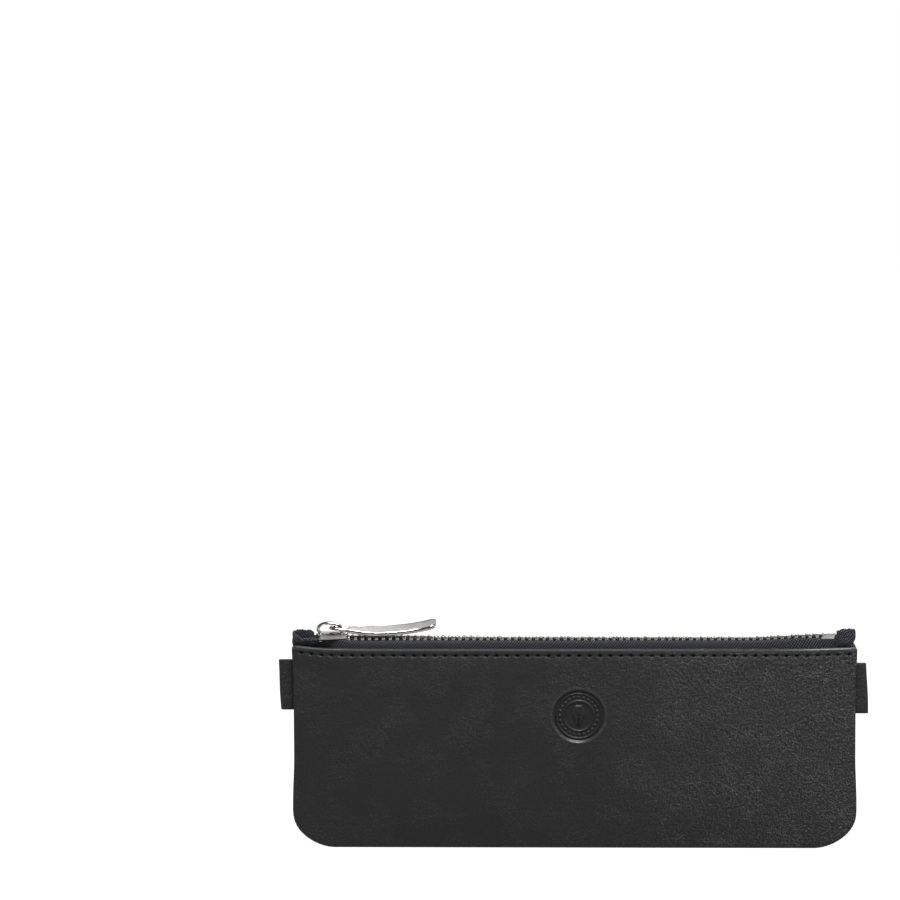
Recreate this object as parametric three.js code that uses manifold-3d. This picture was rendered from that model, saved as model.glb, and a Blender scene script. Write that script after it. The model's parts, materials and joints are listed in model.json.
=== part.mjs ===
// A slim zipped leather case for fountain pens.
// Two leather panels are sewn face to face round the sides and the bottom and turned right side out.
// A metal zip closes the mouth, and a short leather loop is sewn into each side seam.
// Millimetres. +X runs along the zip towards its bottom stop, -Y is the front, +Z is up.
// The origin is under the middle of the case, on the surface that it stands on.

import * as THREE from "three";
import { mergeVertices } from "three/addons/utils/BufferGeometryUtils.js";
import Module from "manifold-3d";

// ---- Driving dimensions ----
const clearance = 0.3; // between pieces that are sewn, clamped or laid together
const snug = 0.15; // between pieces that are pressed together
const finest = 0.01; // corners closer than this are merged after the cuts
const past = 1; // cuts run on this far past the surface that they open

// Leather case
const caseWidth = 206;
const caseHeight = 74; // to the folded top edge of the leather
const cornerRadius = 16;
const leather = 1.6;
const edgeRoll = 2 * leather; // radius of the turned edge, where the panel and its allowance lie together
const bodyHalfDepth = 6.9; // half the depth where the case is fullest
const footDepth = 0.4; // how far the turned bottom edge is pressed flat
const sideTaper = 28; // length over which the case thins towards a side seam
const bottomTaper = 42; // height over which it thins towards the bottom seam
const hem = 0.7; // skived leather turned in behind the top edge
const hemHeight = 9;
const allowance = 0.65; // skived thickness of a turned-in seam allowance
const allowanceWidth = 4.8;
const allowanceDrop = 2; // the turned-in allowance ends this far under the tape
const liningCloth = 0.6;
const liningDrop = 3; // the lining ends this far under the leather's edge
const liningInset = 8.6; // and this far inside the outline at the sides and the bottom
const liningEase = 10; // height over which it makes room for the hem and the tape
const threadThickness = 0.4;
const topStitchDrop = 2.4;
const seamInset = 4;

// Blind stamp
const stampRadius = 9.7;
const stampDepth = 0.5;
const stampX = 1.8;
const stampDrop = 25.4; // its middle lies this far under the leather's edge

// Side loops
const loopLeather = 1.1;
const loopGap = 0.3;
const loopReach = 5;
const loopFlare = 1; // the loops stand out this much further at one end
const loopHeight = 18.4;
const leftLoopDrop = 4.9; // the loops start this far under the leather's edge
const rightLoopDrop = 6.1;
const loopSewnIn = 3.4;

// Zip
const chainLift = 3; // height of the zip's middle plane over the leather's edge
const pitch = 2.54;
const chainHalfWidth = 3;
const toothLength = 3.7;
const toothWidth = 0.95;
const rowHeight = 2.2;
const cordWidth = 0.9;
const tapeCloth = 0.5;
const tapeWidth = 15;
const tapeShoulder = 0.8; // the tape runs on this far past its cord before it bends down
const tapeShoulderDrop = 0.15;
const tapeBulge = 0.35; // and stands out this much further in the bend
const tapeBulgeDrop = 1.1;
const closedInset = 9; // from the left seam to the slider, when the zip is closed
const firstTooth = 1; // from the slider's nose to the first tooth
const stopInset = 13.4; // from the right seam to the near end of the bottom stop
const topStopLength = 4;
const bottomStopLength = 5.3;
const bottomStopHalfWidth = 3.1;
const bottomStopWeb = 1.2; // the solid middle between its two tapes
const topStopGap = 0.4; // from the middle plane, before the wedge spreads the rows
const stopHeight = 2.9;
const tapeEndHeight = 1.7; // how far a turned-over tape end stands over the zip's middle plane
const tapeEndHalfDepth = 2.2;
const tapeEndInset = 1; // from the side seam
const tapeEndPinch = 0.45; // share of its depth that it loses towards its top
const tapeEndLean = 1.2; // how far its outer top corner leans back to the middle
const tapeEndSlope = 0.6; // how much lower it is beside the stop

// Slider
const sliderLength = 11.2;
const sliderPlate = 1.2;
const sliderRoom = 0.2; // between the teeth and the plates
const sliderWall = 0.65;
const rowSpread = 1.5; // how far the wedge pushes each row aside
const tapeSlot = 1.2;
const wedgeLength = 2.6;
const wedgeHalfWidth = 0.5;
const wedgeInset = 0.2; // from the slider's nose, and into each plate
const noseCut = 0.8; // the slider's front corners are cut off by this much
const shoulderPlace = 0.45; // share of its length up to which it stays wide
const shoulderWidth = 0.97; // share of its width there

// Bail and pull
const bailLength = 10.1;
const bailRise = 3.8;
const bailStrap = 1.4;
const bailWidth = 3;
const bailBend = 2.6; // radius of its two bends
const bailSocket = 0.6; // depth of the sockets that hold its feet
const eyeBar = 1.3;
const eyeReach = 5.7; // from the bar's middle to the far end of the eye
const eyeWidth = 3.8;
const pullLength = 37.5; // from the bar's middle to the tip
const pullWidth = 9;
const pullNeckWidth = 6.4;
const pullTipWidth = 4.4;
const pullThickness = 1.2;
const pullDip = 1.3; // the middle of the pull hangs this much under the bar
const pullTipRise = 2.4;
const pullTipCurl = 2.2; // power with which it rises to the tip
const pullBelly = 0.9; // its sides swell over this share of its length
const pullTaper = 0.5; // and draw in from here on
const pullTipRound = 0.4; // share of its width that the rounded tip loses
const pullTipFrom = 0.93; // where the rounding starts
const pullNeckRound = 0.25;
const pullNeckTo = 0.04;

// ---- Places that follow from them ----
const halfWidth = caseWidth / 2;
const sliderLeft = closedInset - halfWidth;
const chainStart = sliderLeft + firstTooth;
const chainEnd = halfWidth - stopInset;
const loopTop = (side) => caseHeight - (side < 0 ? leftLoopDrop : rightLoopDrop);
const stampZ = caseHeight - stampDrop;
const outlineBottom = -footDepth;
const zipZ = caseHeight + chainLift;
const toothRoot = chainHalfWidth - cordWidth;
const plateTop = zipZ + rowHeight / 2 + sliderRoom + sliderPlate;
const plateBottom = zipZ - rowHeight / 2 - sliderRoom - sliderPlate;
const sliderMiddle = sliderLeft + sliderLength / 2;
const barZ = plateTop + (bailRise - bailStrap) / 2 + snug;
const tapeBottom = zipZ - tapeWidth;
const toothCount = Math.floor((chainEnd - chainStart - toothWidth) / pitch);

const wasm = await Module();
wasm.setup();

// ---- Materials ----
const finish = (color, roughness, metalness) => new THREE.MeshStandardMaterial({ color, roughness, metalness });
const blackLeather = finish(0x262626, 0.62, 0);
const liningFabric = finish(0x14161c, 0.95, 0);
const tapeFabric = finish(0x17181c, 0.9, 0);
const blackThread = finish(0x0c0c0c, 0.8, 0);
const nickel = finish(0xc9c6bf, 0.25, 1);
const satinNickel = finish(0xb9b7b2, 0.38, 1);

// ---- Solids and meshes ----
function solid(geometry) {
  const bare = new THREE.BufferGeometry().setAttribute("position", geometry.getAttribute("position"));
  bare.setIndex(geometry.getIndex());
  const merged = mergeVertices(bare, 1e-4);
  return new wasm.Manifold(
    new wasm.Mesh({
      numProp: 3,
      vertProperties: merged.getAttribute("position").array,
      triVerts: new Uint32Array(merged.getIndex().array),
    }),
  );
}

const part = new THREE.Group();

function addPiece(name, shape, material) {
  const { vertProperties, triVerts } = shape.getMesh();
  const geometry = new THREE.BufferGeometry();
  geometry.setAttribute("position", new THREE.BufferAttribute(new Float32Array(vertProperties), 3));
  geometry.setIndex(new THREE.BufferAttribute(new Uint32Array(triVerts), 1));
  geometry.computeVertexNormals();
  const piece = new THREE.Mesh(geometry, material);
  piece.name = name;
  part.add(piece);
}

function block(x0, x1, y0, y1, z0, z1) {
  const geometry = new THREE.BoxGeometry(x1 - x0, y1 - y0, z1 - z0);
  geometry.translate((x0 + x1) / 2, (y0 + y1) / 2, (z0 + z1) / 2);
  return solid(geometry);
}

// A box with nx, ny and nz facets along its sides, whose points place(u, v, w) moves from -1..1 to where they belong.
function formedBox(nx, ny, nz, place) {
  const unit = new THREE.BoxGeometry(2, 2, 2, nx, ny, nz);
  unit.deleteAttribute("normal");
  unit.deleteAttribute("uv");
  const geometry = mergeVertices(unit, 1e-4);
  const points = geometry.getAttribute("position");
  for (let i = 0; i < points.count; i += 1) {
    points.setXYZ(i, ...place(points.getX(i), points.getY(i), points.getZ(i)));
  }
  return solid(geometry);
}

function polygon(points) {
  return new THREE.Shape(points.map(([x, y]) => new THREE.Vector2(x, y)));
}

// An outline in X and Y, raised from z0 to z1.
function raised(shape, z0, z1, curveSegments = 6) {
  const geometry = new THREE.ExtrudeGeometry(shape, { depth: z1 - z0, bevelEnabled: false, curveSegments });
  geometry.translate(0, 0, z0);
  return solid(geometry);
}

// An outline in X and Z, run along Y from y0 to y1.
function runAlongY(shape, y0, y1, curveSegments = 6) {
  const geometry = new THREE.ExtrudeGeometry(shape, { depth: y1 - y0, bevelEnabled: false, curveSegments });
  geometry.rotateX(Math.PI / 2);
  geometry.translate(0, y1, 0);
  return solid(geometry);
}

// An outline in Y and Z, run along X from x0 to x1.
function runAlongX(shape, x0, x1) {
  const geometry = new THREE.ExtrudeGeometry(shape, { depth: x1 - x0, bevelEnabled: false });
  geometry.rotateX(Math.PI / 2);
  geometry.rotateZ(Math.PI / 2);
  geometry.translate(x0, 0, 0);
  return solid(geometry);
}

// A thread: a round section led along a curve.
function threadAlong(curve, steps) {
  const section = new THREE.Shape();
  section.absarc(0, 0, threadThickness / 2, 0, 2 * Math.PI);
  return solid(
    new THREE.ExtrudeGeometry(section, { steps, extrudePath: curve, bevelEnabled: false, curveSegments: 2 }),
  );
}

// The front pieces are mirrored to make the back ones.
const mirrorY = (shape) => shape.mirror([0, 1, 0]);

const smooth = (low, high, value) => {
  const t = Math.min(1, Math.max(0, (value - low) / (high - low)));
  return t * t * (3 - 2 * t);
};

// ---- Shape of the case ----
// Half the width of the outline at height z, inset from its edge.
function halfWidthAt(z, inset) {
  const radius = cornerRadius - inset;
  const height = z - outlineBottom - inset;
  const straight = halfWidth - cornerRadius;
  return height >= radius ? straight + radius : straight + Math.sqrt(radius ** 2 - (radius - height) ** 2);
}

// How far a point of the front view lies inside the outline.
function insideBy(x, z) {
  const beyond = Math.abs(x) - (halfWidth - cornerRadius);
  const below = cornerRadius - (z - outlineBottom);
  if (beyond > 0 && below > 0) return cornerRadius - Math.hypot(beyond, below);
  return Math.min(halfWidth - Math.abs(x), z - outlineBottom);
}

// The swell of the case between its seams.
function swell(x, z) {
  const across = smooth(0, sideTaper, halfWidth - Math.abs(x));
  const up = smooth(0, bottomTaper, z);
  return (bodyHalfDepth - edgeRoll) * across * up;
}

// Distance from the middle plane to a surface that lies inset under the outer one.
function halfDepth(x, z, inset) {
  const roll = edgeRoll - inset;
  const inwards = Math.min(roll, Math.max(0, insideBy(x, z) - inset));
  return swell(x, z) + Math.sqrt(roll ** 2 - (roll - inwards) ** 2);
}

const columns = 22;
const rows = 9;

// The space inside a surface that lies inset under the outer one. Its points crowd towards the turned edges.
function pouch(inset, top, thinner = () => 0) {
  const bottom = outlineBottom + inset;
  return formedBox(columns, 1, rows, (u, v, w) => {
    const z = bottom + (top - bottom) * (1 - Math.cos(((w + 1) * Math.PI) / 4));
    const x = halfWidthAt(z, inset) * Math.sin((u * Math.PI) / 2);
    const y = Math.max(halfDepth(x, z, inset) - thinner(z), snug / 2);
    return [x, v * y, z];
  });
}

const reach = 2 * caseWidth; // larger than the case, for cutting
const frontOf = (y) => block(-reach, reach, -reach, -y, -reach, reach);
const overGround = block(-reach, reach, -reach, reach, 0, reach);
const under = (z) => block(-reach, reach, -reach, reach, -reach, z);

// A strip that follows the seam between two insets, in X and Z, up to a height.
function seamStrip(outer, inner, top) {
  const shape = new THREE.Shape();
  const straight = halfWidth - cornerRadius;
  const middle = outlineBottom + cornerRadius;
  shape.moveTo(-halfWidth + outer, top);
  shape.lineTo(-halfWidth + outer, middle);
  shape.absarc(-straight, middle, cornerRadius - outer, Math.PI, 1.5 * Math.PI);
  shape.absarc(straight, middle, cornerRadius - outer, 1.5 * Math.PI, 2 * Math.PI);
  shape.lineTo(halfWidth - outer, top);
  shape.lineTo(halfWidth - inner, top);
  shape.absarc(straight, middle, cornerRadius - inner, 2 * Math.PI, 1.5 * Math.PI, true);
  shape.absarc(-straight, middle, cornerRadius - inner, 1.5 * Math.PI, Math.PI, true);
  shape.lineTo(-halfWidth + inner, top);
  return shape;
}

// ---- Side loops ----
// Seen from above, a strip of leather folded back on itself, with both ends sewn into the seam.
function loopOutline(side, grow) {
  const outer = loopLeather + loopGap / 2 + grow;
  const fold = side * (halfWidth + loopReach - outer + grow);
  const sewn = side * (halfWidth - loopSewnIn - grow);
  const shape = new THREE.Shape();
  shape.moveTo(sewn, -outer);
  shape.lineTo(fold, -outer);
  shape.absarc(fold, 0, outer, -Math.PI / 2, Math.PI / 2, side < 0);
  shape.lineTo(sewn, outer);
  if (grow > 0) return shape;
  shape.lineTo(sewn, loopGap / 2);
  shape.lineTo(fold, loopGap / 2);
  shape.absarc(fold, 0, loopGap / 2, Math.PI / 2, -Math.PI / 2, side > 0);
  shape.lineTo(sewn, -loopGap / 2);
  return shape;
}

function sideLoop(side, flareAtTop) {
  const bottom = loopTop(side) - loopHeight;
  const straight = raised(loopOutline(side, 0), bottom, loopTop(side));
  return straight.warp((point) => {
    const up = (point[2] - bottom) / loopHeight;
    const out = Math.max(0, Math.abs(point[0]) - halfWidth) / loopReach;
    point[0] += side * loopFlare * out * ((flareAtTop ? up : 1 - up) - 0.5);
  });
}

function loopSlot(side) {
  const top = loopTop(side);
  return raised(loopOutline(side, clearance), top - loopHeight - clearance, top + clearance);
}

// ---- Leather panels, seam allowances and linings ----
const allowanceTop = tapeBottom - allowanceDrop;

function leatherPanel() {
  const inside = pouch(leather, caseHeight + past).intersect(under(caseHeight - hemHeight));
  const insideHem = pouch(leather, caseHeight + past, () => hem);
  const turnedIn = runAlongY(
    seamStrip(leather / 2, leather + allowanceWidth, allowanceTop),
    -snug - allowance,
    -snug,
  );
  return pouch(0, caseHeight)
    .subtract(inside)
    .subtract(insideHem)
    .intersect(frontOf(snug))
    .add(turnedIn)
    .intersect(overGround)
    .subtract(loopSlot(-1))
    .subtract(loopSlot(1))
    .simplify(finest);
}

// Room that the hem, the tape and their gaps take behind the top of the leather.
const zipLayers = hem + tapeCloth + clearance;
const behindZip = (z) => zipLayers * smooth(allowanceTop - liningEase, allowanceTop, z);

// A sheet that lies inside the leather.
function lining() {
  const bottom = outlineBottom + liningInset;
  const top = caseHeight - liningDrop;
  return formedBox(columns, 1, rows, (u, v, w) => {
    const z = bottom + (top - bottom) * (1 - Math.cos(((w + 1) * Math.PI) / 4));
    const x = halfWidthAt(z, liningInset) * Math.sin((u * Math.PI) / 2);
    const outer = Math.max(halfDepth(x, z, leather + clearance) - behindZip(z), snug + liningCloth);
    return [x, -outer + (liningCloth * (v + 1)) / 2, z];
  });
}

function stampCut() {
  const surface = halfDepth(stampX, stampZ, 0);
  const disc = new THREE.CylinderGeometry(stampRadius, stampRadius, 2 * stampDepth, 40);
  disc.translate(stampX, -surface, stampZ);
  return solid(disc);
}

const plainPanel = leatherPanel();
addPiece("front_panel", plainPanel.subtract(stampCut()), blackLeather);
addPiece("back_panel", mirrorY(plainPanel), blackLeather);
const frontLining = lining();
addPiece("front_lining", frontLining, liningFabric);
addPiece("back_lining", mirrorY(frontLining), liningFabric);
addPiece("left_loop", sideLoop(-1, true), blackLeather);
addPiece("right_loop", sideLoop(1, false), blackLeather);

// ---- Threads ----
class TopStitchLine extends THREE.Curve {
  getPoint(t, target = new THREE.Vector3()) {
    const end = halfWidth - edgeRoll;
    const x = end * (2 * t - 1);
    const z = caseHeight - topStitchDrop;
    return target.set(x, -halfDepth(x, z, 0) - clearance - threadThickness / 2, z);
  }
}

// The seam's thread runs down one side, round the corners and up the other side.
class SeamLine extends THREE.Curve {
  getPoint(t, target = new THREE.Vector3()) {
    const radius = cornerRadius - seamInset;
    const straight = halfWidth - cornerRadius;
    const middle = outlineBottom + cornerRadius;
    const side = allowanceTop - past - middle;
    const arc = (Math.PI / 2) * radius;
    const along = Math.abs(2 * t - 1) * (straight + arc + side);
    const way = Math.sign(2 * t - 1) || 1;
    let x = along;
    let z = middle - radius;
    if (along > straight + arc) {
      x = straight + radius;
      z = middle + along - straight - arc;
    } else if (along > straight) {
      const angle = (along - straight) / radius;
      x = straight + radius * Math.sin(angle);
      z = middle - radius * Math.cos(angle);
    }
    return target.set(way * x, -snug - allowance - snug - threadThickness / 2, z);
  }
}

const topStitch = threadAlong(new TopStitchLine(), 24);
addPiece("front_top_stitch", topStitch, blackThread);
addPiece("back_top_stitch", mirrorY(topStitch), blackThread);
const seamThread = threadAlong(new SeamLine(), 40);
addPiece("seam_needle_thread", seamThread, blackThread);
addPiece("seam_bobbin_thread", mirrorY(seamThread), blackThread);

// ---- Zip rows ----
// How far the front row is pushed aside at x, by the wedge of the slider at its closed end.
const spreadEnd = sliderMiddle + sliderLength / 4;
const spread = (x) => rowSpread * (1 - smooth(chainStart, spreadEnd, x));

// Seen from above, one row: teeth clamped on the cord of the tape's edge.
// The other row's teeth lie half a pitch along.
function toothRow(shift) {
  const from = sliderLeft - clearance - topStopLength;
  const to = chainEnd - clearance;
  const bends = 5; // points of the cord's outer side where the wedge spreads it
  const outline = [[to, -chainHalfWidth]];
  for (let i = bends; i >= 0; i -= 1) {
    outline.push([chainStart + ((spreadEnd - chainStart) * i) / bends, -chainHalfWidth]);
  }
  outline.push([from, -chainHalfWidth], [from, -toothRoot]);
  for (let i = 0; i < toothCount; i += 1) {
    const x = chainStart + toothWidth / 2 + i * pitch + shift;
    const tip = toothLength - chainHalfWidth;
    outline.push([x, -toothRoot], [x, tip], [x + toothWidth, tip], [x + toothWidth, -toothRoot]);
  }
  outline.push([to, -toothRoot]);
  const straight = raised(polygon(outline.reverse()), zipZ - rowHeight / 2, zipZ + rowHeight / 2);
  return straight.warp((point) => {
    point[1] -= spread(point[0]);
  });
}

// ---- Tapes ----
// Where the tape lies, as [y, z] from its corded edge down to the edge behind the hem.
function tapeSection(x) {
  const corded = chainHalfWidth + spread(x) + clearance;
  const bend = corded + tapeShoulder;
  const pocket = halfDepth(x, caseHeight - hemHeight / 2, leather) - hem - clearance - tapeCloth / 2;
  return [
    [-corded, zipZ],
    [-bend, zipZ - tapeShoulderDrop],
    [-bend - tapeBulge, zipZ - tapeBulgeDrop],
    [-pocket, caseHeight + clearance],
    [-pocket, caseHeight - hemHeight / 2],
    [-pocket, tapeBottom],
  ];
}

const tapeFrom = sliderLeft - clearance - topStopLength;
const tapeTo = chainEnd + bottomStopLength;

function tape() {
  const folds = 5;
  return formedBox(26, 1, folds, (u, v, w) => {
    const x = tapeFrom + ((tapeTo - tapeFrom) * (1 - Math.cos(((u + 1) * Math.PI) / 2))) / 2;
    const line = tapeSection(x);
    const k = Math.round(((1 - w) / 2) * folds);
    const before = line[Math.max(0, k - 1)];
    const after = line[Math.min(folds, k + 1)];
    const run = Math.hypot(after[0] - before[0], after[1] - before[1]);
    const normalY = (after[1] - before[1]) / run;
    const normalZ = -(after[0] - before[0]) / run;
    return [x, line[k][0] - (v * normalY * tapeCloth) / 2, line[k][1] - (v * normalZ * tapeCloth) / 2];
  });
}

// The turned-over end of both tapes, which stands up beside the last stop.
function tapeEnd(side, inner) {
  const outer = halfWidth - tapeEndInset;
  const low = caseHeight + clearance;
  const high = zipZ + tapeEndHeight;
  return formedBox(4, 2, 4, (u, v, w) => {
    const out = (u + 1) / 2;
    const up = (w + 1) / 2;
    const x = inner + (outer - inner) * out;
    const pinch = 1 - tapeEndPinch * up ** 2;
    const lean = tapeEndLean * up * out;
    const z = low + (high - low - tapeEndSlope * (1 - out)) * up;
    return [side * (x - lean), side * v * tapeEndHalfDepth * pinch, z];
  });
}

// ---- Stops ----
// A clip on one tape's cord: closed on the side of the other row, open for its own tape.
function topStop() {
  const x1 = sliderLeft - clearance;
  const near = -topStopGap - rowSpread / 2;
  const far = -chainHalfWidth - rowSpread - snug;
  const low = zipZ - stopHeight / 2;
  const high = zipZ + stopHeight / 2;
  const room = rowHeight / 2 + snug;
  const cordSide = -toothRoot - rowSpread + snug;
  const clip = polygon([
    [near, low],
    [near, high],
    [far, high],
    [far, zipZ + room],
    [cordSide, zipZ + room],
    [cordSide, zipZ - room],
    [far, zipZ - room],
    [far, low],
  ].reverse());
  return runAlongX(clip, x1 - topStopLength, x1);
}

// The bottom stop holds both cords: a web in the middle, open to each tape.
function bottomStop() {
  const low = zipZ - stopHeight / 2;
  const high = zipZ + stopHeight / 2;
  const room = tapeSlot / 2;
  const web = bottomStopWeb / 2;
  const edge = bottomStopHalfWidth;
  const section = polygon([
    [-edge, low],
    [edge, low],
    [edge, zipZ - room],
    [web, zipZ - room],
    [web, zipZ + room],
    [edge, zipZ + room],
    [edge, high],
    [-edge, high],
    [-edge, zipZ + room],
    [-web, zipZ + room],
    [-web, zipZ - room],
    [-edge, zipZ - room],
  ]);
  return runAlongX(section, chainEnd, chainEnd + bottomStopLength);
}

// ---- Slider ----
// Seen from above: wide where the rows part, narrow where they leave it closed.
function sliderOutline(nose, tail, x0, x1) {
  const shoulder = sliderLeft + shoulderPlace * sliderLength;
  return polygon([
    [x0, -nose + noseCut],
    [x0 + noseCut, -nose],
    [shoulder, -nose * shoulderWidth],
    [spreadEnd, -tail],
    [x1, -tail],
    [x1, tail],
    [spreadEnd, tail],
    [shoulder, nose * shoulderWidth],
    [x0 + noseCut, nose],
    [x0, nose - noseCut],
  ]);
}

const channelNose = chainHalfWidth + rowSpread + clearance;
const channelTail = chainHalfWidth + clearance;
const sliderNose = channelNose + sliderWall;
const sliderTail = channelTail + sliderWall;
const sliderRight = sliderLeft + sliderLength;

function sliderBody() {
  const room = rowHeight / 2 + sliderRoom;
  const channel = raised(
    polygon([
      [sliderLeft - past, -channelNose],
      [sliderMiddle, -channelNose],
      [spreadEnd, -channelTail],
      [sliderRight + past, -channelTail],
      [sliderRight + past, channelTail],
      [spreadEnd, channelTail],
      [sliderMiddle, channelNose],
      [sliderLeft - past, channelNose],
    ]),
    zipZ - room,
    zipZ + room,
  );
  const slots = block(sliderLeft - past, sliderRight + past, -reach, reach, zipZ - tapeSlot / 2, zipZ + tapeSlot / 2);
  const wedgeNose = sliderLeft + wedgeInset;
  const wedge = raised(
    polygon([
      [wedgeNose, -wedgeHalfWidth],
      [wedgeNose + wedgeLength, -wedgeHalfWidth / 3],
      [wedgeNose + wedgeLength, wedgeHalfWidth / 3],
      [wedgeNose, wedgeHalfWidth],
    ]),
    zipZ - room - wedgeInset,
    zipZ + room + wedgeInset,
  );
  const sockets = [-1, 1].map((end) => {
    const foot = sliderMiddle + (end * (bailLength - bailStrap)) / 2;
    const half = bailStrap / 2 + snug;
    const wide = bailWidth / 2 + snug;
    return block(foot - half, foot + half, -wide, wide, plateTop - bailSocket - snug, plateTop + past);
  });
  return raised(sliderOutline(sliderNose, sliderTail, sliderLeft, sliderRight), plateBottom, plateTop)
    .subtract(channel)
    .subtract(slots)
    .add(wedge)
    .subtract(sockets[0])
    .subtract(sockets[1]);
}

// The bail is a strap bent over the slider, with both feet in sockets.
function bail() {
  const half = bailLength / 2;
  const foot = plateTop - bailSocket;
  const crown = plateTop + bailRise;
  const arch = (grow) => {
    const inner = half - grow;
    const radius = bailBend - grow;
    const shape = new THREE.Shape();
    shape.moveTo(sliderMiddle - inner, foot - grow);
    shape.lineTo(sliderMiddle + inner, foot - grow);
    shape.absarc(sliderMiddle + half - bailBend, crown - bailBend, radius, 0, Math.PI / 2);
    shape.absarc(sliderMiddle - half + bailBend, crown - bailBend, radius, Math.PI / 2, Math.PI);
    return shape;
  };
  return runAlongY(arch(0), -bailWidth / 2, bailWidth / 2).subtract(
    runAlongY(arch(bailStrap), -bailWidth, bailWidth),
  );
}

// ---- Pull ----
// Height of the pull's middle surface over the bar, at a share of the way to its tip.
const pullRise = (t) => -4 * pullDip * t * (1 - t) + pullTipRise * t ** pullTipCurl;

function pullHalfWidth(t) {
  const belly = pullNeckWidth + (pullWidth - pullNeckWidth) * Math.sin(Math.PI * Math.min(1, t / pullBelly)) ** 1.2;
  const taper = smooth(pullTaper, 1, t);
  return (belly + (pullTipWidth - belly) * taper) / 2;
}

function pull() {
  const from = sliderMiddle - eyeBar / 2;
  const blade = formedBox(20, 4, 1, (u, v, w) => {
    const t = (u + 1) / 2;
    const tip = Math.max(0, (t - pullTipFrom) / (1 - pullTipFrom));
    const neck = Math.max(0, (pullNeckTo - t) / pullNeckTo);
    const round = 1 - pullTipRound * tip ** 2 - pullNeckRound * neck;
    const x = from + (pullLength + eyeBar / 2) * t;
    return [x, v * pullHalfWidth(t) * round, barZ + pullRise(t) + (w * pullThickness) / 2];
  });
  const eye = block(
    sliderMiddle + eyeBar / 2,
    sliderMiddle + eyeReach,
    -eyeWidth / 2,
    eyeWidth / 2,
    barZ - pullWidth,
    barZ + pullWidth,
  );
  return blade.subtract(eye);
}

const frontRow = toothRow(0);
const backRow = mirrorY(toothRow(pitch / 2));
const body = sliderBody();
const sliderSpace = raised(
  sliderOutline(sliderNose + clearance, sliderTail + clearance, sliderLeft - clearance, sliderRight + clearance),
  plateBottom - clearance,
  zipZ - tapeSlot / 2 + snug,
);
const stopSpace = block(
  tapeFrom - clearance,
  sliderLeft,
  -reach,
  reach,
  zipZ - stopHeight / 2 - clearance,
  zipZ - rowHeight / 2 - snug + clearance,
);
const frontTape = tape().subtract(sliderSpace).subtract(stopSpace);

addPiece("front_tape", frontTape, tapeFabric);
addPiece("back_tape", mirrorY(frontTape), tapeFabric);
addPiece("left_tape_end", tapeEnd(-1, clearance - tapeFrom), tapeFabric);
addPiece("right_tape_end", tapeEnd(1, tapeTo + clearance), tapeFabric);
addPiece("front_teeth", frontRow, nickel);
addPiece("back_teeth", backRow, nickel);
addPiece("front_top_stop", topStop(), nickel);
addPiece("back_top_stop", mirrorY(topStop()), nickel);
addPiece("bottom_stop", bottomStop(), nickel);
addPiece("slider_body", body, nickel);
addPiece("slider_bail", bail(), nickel);
addPiece("pull_tab", pull(), satinNickel);

export default part;
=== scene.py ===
# %% [markdown]
# # A zipped leather case for fountain pens
# The real case is two leather panels, sewn face to face round the sides and the bottom and then turned
# right side out. A metal zip closes the mouth. This notebook dresses the fixed frame of that case: every
# soft piece of the frame is replaced by a finished one, and the metal is made again with rounded edges.

# %% Load the frame
import json
import math

import bmesh
import bpy
import numpy as np
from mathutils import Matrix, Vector, noise


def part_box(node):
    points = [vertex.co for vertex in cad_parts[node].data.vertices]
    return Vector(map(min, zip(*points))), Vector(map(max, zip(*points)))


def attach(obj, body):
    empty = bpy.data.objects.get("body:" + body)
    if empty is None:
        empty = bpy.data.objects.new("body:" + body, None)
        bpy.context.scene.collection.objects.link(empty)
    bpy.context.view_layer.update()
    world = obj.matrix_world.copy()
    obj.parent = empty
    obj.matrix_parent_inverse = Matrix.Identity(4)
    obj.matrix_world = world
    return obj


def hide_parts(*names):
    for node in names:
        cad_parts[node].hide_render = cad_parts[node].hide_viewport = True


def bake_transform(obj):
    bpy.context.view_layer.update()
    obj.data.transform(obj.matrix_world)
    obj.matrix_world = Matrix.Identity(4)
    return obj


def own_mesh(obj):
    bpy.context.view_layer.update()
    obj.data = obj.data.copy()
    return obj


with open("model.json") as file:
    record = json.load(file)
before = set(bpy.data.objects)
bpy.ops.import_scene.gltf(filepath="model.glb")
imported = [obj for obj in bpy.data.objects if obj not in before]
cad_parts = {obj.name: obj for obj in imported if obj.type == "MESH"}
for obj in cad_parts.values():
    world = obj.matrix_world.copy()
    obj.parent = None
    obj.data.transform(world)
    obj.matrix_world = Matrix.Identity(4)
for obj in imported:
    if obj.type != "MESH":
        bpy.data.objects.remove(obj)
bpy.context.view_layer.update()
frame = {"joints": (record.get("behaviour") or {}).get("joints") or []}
mm = 0.001

# %% [markdown]
# ## Sizes
# Overall sizes come from the frame, so the finish follows it. The rest are the small sizes of a stitched
# and turned leather edge, in millimetres, which the plain frame doesn't hold.

# %% Sizes from the frame


def node_box(name):
    low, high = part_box(name)
    return np.array(low) / mm, np.array(high) / mm


panel_low, panel_high = node_box("front_panel")
half_width, height, fullness = panel_high[0], panel_high[2], -panel_low[1]
teeth_low, teeth_high = node_box("front_teeth")
zip_z = (teeth_low[2] + teeth_high[2]) / 2
slider_low, slider_high = node_box("slider_body")
plate_from, plate_to = slider_low[0] + 1.6, slider_high[0] + 0.6
stop_low, stop_high = node_box("bottom_stop")
bail_low, bail_high = node_box("slider_bail")
pull_high = node_box("pull_tab")[1]
tape_low, tape_high = node_box("front_tape")
print(f"case {2 * half_width:.0f} x {2 * fullness:.1f} x {height:.0f} mm, zip at {zip_z:.1f} mm")

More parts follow.
